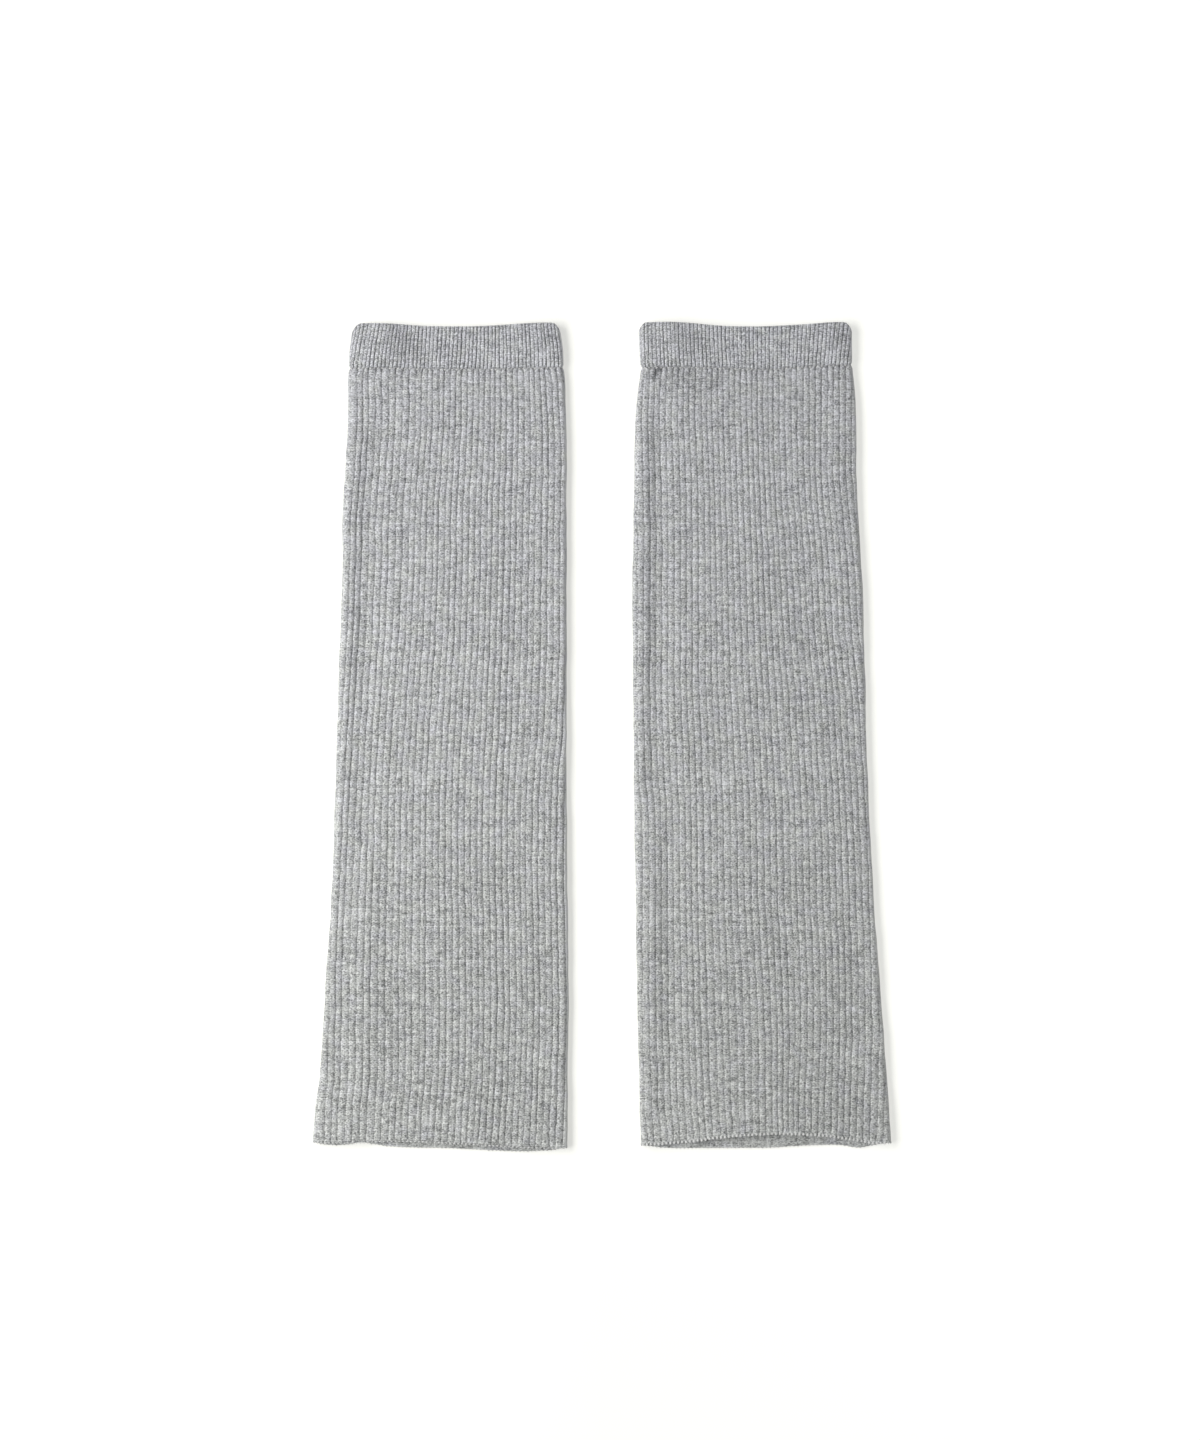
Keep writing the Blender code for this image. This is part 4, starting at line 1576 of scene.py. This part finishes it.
def plied_yarn(name, dark, light):
    """Two-ply melange yarn, in a loop of a chain."""
    material = bpy.data.materials.new(name)
    material.use_nodes = True
    shader = material.node_tree.nodes["Principled BSDF"]
    shader.inputs["Roughness"].default_value = 0.9
    shader.inputs["Specular IOR Level"].default_value = 0.25
    shader.inputs["Sheen Weight"].default_value = 0.25
    place = add_node(material, "ShaderNodeTexCoord", {}, {}, "Object")
    flecks = add_node(
        material, "ShaderNodeTexNoise", {},
        {"Vector": place, "Scale": YARN_FLECKS / MM, "Detail": 2.0, "Roughness": 0.6},
    )
    plies = add_node(
        material, "ShaderNodeTexWave", {"bands_direction": "DIAGONAL"},
        {"Vector": place, "Scale": PLIES / MM, "Distortion": 2.0, "Detail": 1.0}, "Fac",
    )
    colour = add_node(
        material, "ShaderNodeMix", {"data_type": "RGBA"},
        {0: flecks, 6: linear(dark), 7: linear(light)}, 2,
    )
    bump = add_node(
        material, "ShaderNodeBump", {}, {"Height": plies, "Distance": 0.08 * MM, "Strength": 0.6},
    )
    material.node_tree.links.new(colour, shader.inputs["Base Color"])
    material.node_tree.links.new(bump, shader.inputs["Normal"])
    return material


# painted highlight: the chain's greys are lighter than the knit's yarn
chain_yarn_painted_highlight = plied_yarn("melange_yarn_two_ply", "#BFC0BF", "#EBEBE9")
for chain in (*castoffs.values(), *linkings.values()):
    chain.data.materials.clear()
    chain.data.materials.append(chain_yarn_painted_highlight)
print("chain material:", chain_yarn_painted_highlight.name)

# %% [markdown]
# ## The table
#
# The pair lies on a white table that glows by itself, as a shooting table of white acrylic does,
# and more on the right, where less of the light falls. So the floor stays white but for a narrow
# soft shadow along each right-hand side.

# %% Floor
FLOOR_DROP = 0.05       # the table lies this far under the lowest stitches
GLOW_SPAN = 0.4         # metres to the right over which the glow grows
GLOW = (0.47, 0.67)     # the glow's least and greatest strength

bpy.ops.object.select_all(action="DESELECT")
bpy.ops.mesh.primitive_plane_add(size=6.0, location=(0.0, 0.0, -FLOOR_DROP * MM))
floor = bpy.context.object
floor.name = "white_table"
table_top = bpy.data.materials.new("white_acrylic_table")
table_top.use_nodes = True
table_shader = table_top.node_tree.nodes["Principled BSDF"]
table_shader.inputs["Base Color"].default_value = linear("#CFCFCA")
table_shader.inputs["Roughness"].default_value = 0.9
table_shader.inputs["Specular IOR Level"].default_value = 0.0
table_shader.inputs["Emission Color"].default_value = linear("#FFFFFB")
table_place = add_node(table_top, "ShaderNodeTexCoord", {}, {}, "Object")
table_x = add_node(table_top, "ShaderNodeSeparateXYZ", {}, {0: table_place})
glow = add_node(
    table_top, "ShaderNodeMapRange", {},
    {"Value": table_x, "From Max": GLOW_SPAN, "To Min": GLOW[0], "To Max": GLOW[1]},
)
table_top.node_tree.links.new(glow, table_shader.inputs["Emission Strength"])
floor.data.materials.append(table_top)
print("the table's glow grows from", GLOW[0], "to", GLOW[1])

# %% [markdown]
# ## The light
#
# One large softbox on the left, longer than the legs, gives the ribs their shading. The white
# room round the table fills the shadows with a little cool light.

# %% Lights
def aim(thing, target):
    """Turn a light or camera to look at a point."""
    thing.rotation_euler = (Vector(target) - thing.location).to_track_quat("-Z", "Y").to_euler()


softbox = bpy.data.lights.new("softbox_left", "AREA")
softbox.shape = "RECTANGLE"
softbox.size = 1.4          # along the legs
softbox.size_y = 0.63
softbox.energy = 23.6
softbox.color = (1.0, 0.995, 0.985)
softbox_lamp = bpy.data.objects.new("softbox_left", softbox)
softbox_lamp.location = (-1.02, 0.08, 1.02)
bpy.context.collection.objects.link(softbox_lamp)
aim(softbox_lamp, (0.0, 0.0, 0.0))

room = bpy.data.worlds.new("white_room")
room.use_nodes = True
room.node_tree.nodes["Background"].inputs["Color"].default_value = (0.97, 0.985, 1.0, 1.0)
room.node_tree.nodes["Background"].inputs["Strength"].default_value = 0.30
bpy.context.scene.world = room
bpy.context.scene.view_settings.view_transform = "Standard"
print("softbox:", round(softbox.size, 2), "by", round(softbox.size_y, 2), "m")

# %% [markdown]
# ## The camera
#
# The camera looks straight down on the pair. From two metres, the near crests and the far table
# are drawn to almost the same scale.

# %% Camera
CAMERA_HEIGHT = 2.0     # in metres, like the next two
VIEW_HEIGHT = 0.7344    # how much of the table shows from the top to the bottom of the picture
VIEW_CENTRE = (-0.0009, 0.0082)

lens = bpy.data.cameras.new("camera")
lens.sensor_width = 36.0
lens.sensor_fit = "AUTO"
lens.lens = lens.sensor_width * CAMERA_HEIGHT / VIEW_HEIGHT
camera = bpy.data.objects.new("camera", lens)
camera.location = (*VIEW_CENTRE, CAMERA_HEIGHT)
bpy.context.collection.objects.link(camera)
bpy.context.scene.camera = camera
print("lens:", round(lens.lens, 1), "mm, from", CAMERA_HEIGHT, "m above the table")

# %% [markdown]
#
# Each shell stands for its plain solid and takes that solid's place. A leg is a sheet 399 mm
# long, 262 mm round at its hem and 222 mm at its cuff. A cuff shows 24 mm of a band that was
# knitted twice that height and folded double. The chains go with the cloth that they hold.

for warmer in PAIR:
    leg = legs[warmer.name]
    cuff = cuffs[warmer.name]
    castoff = castoffs[warmer.name]
    linking = linkings[warmer.name]
    for piece in (leg, cuff, castoff, linking):
        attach(piece, "root")
    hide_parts(f"leg_{warmer.name}")
    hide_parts(f"cuff_{warmer.name}")
    print("declared:", leg.name, cuff.name, castoff.name, linking.name)
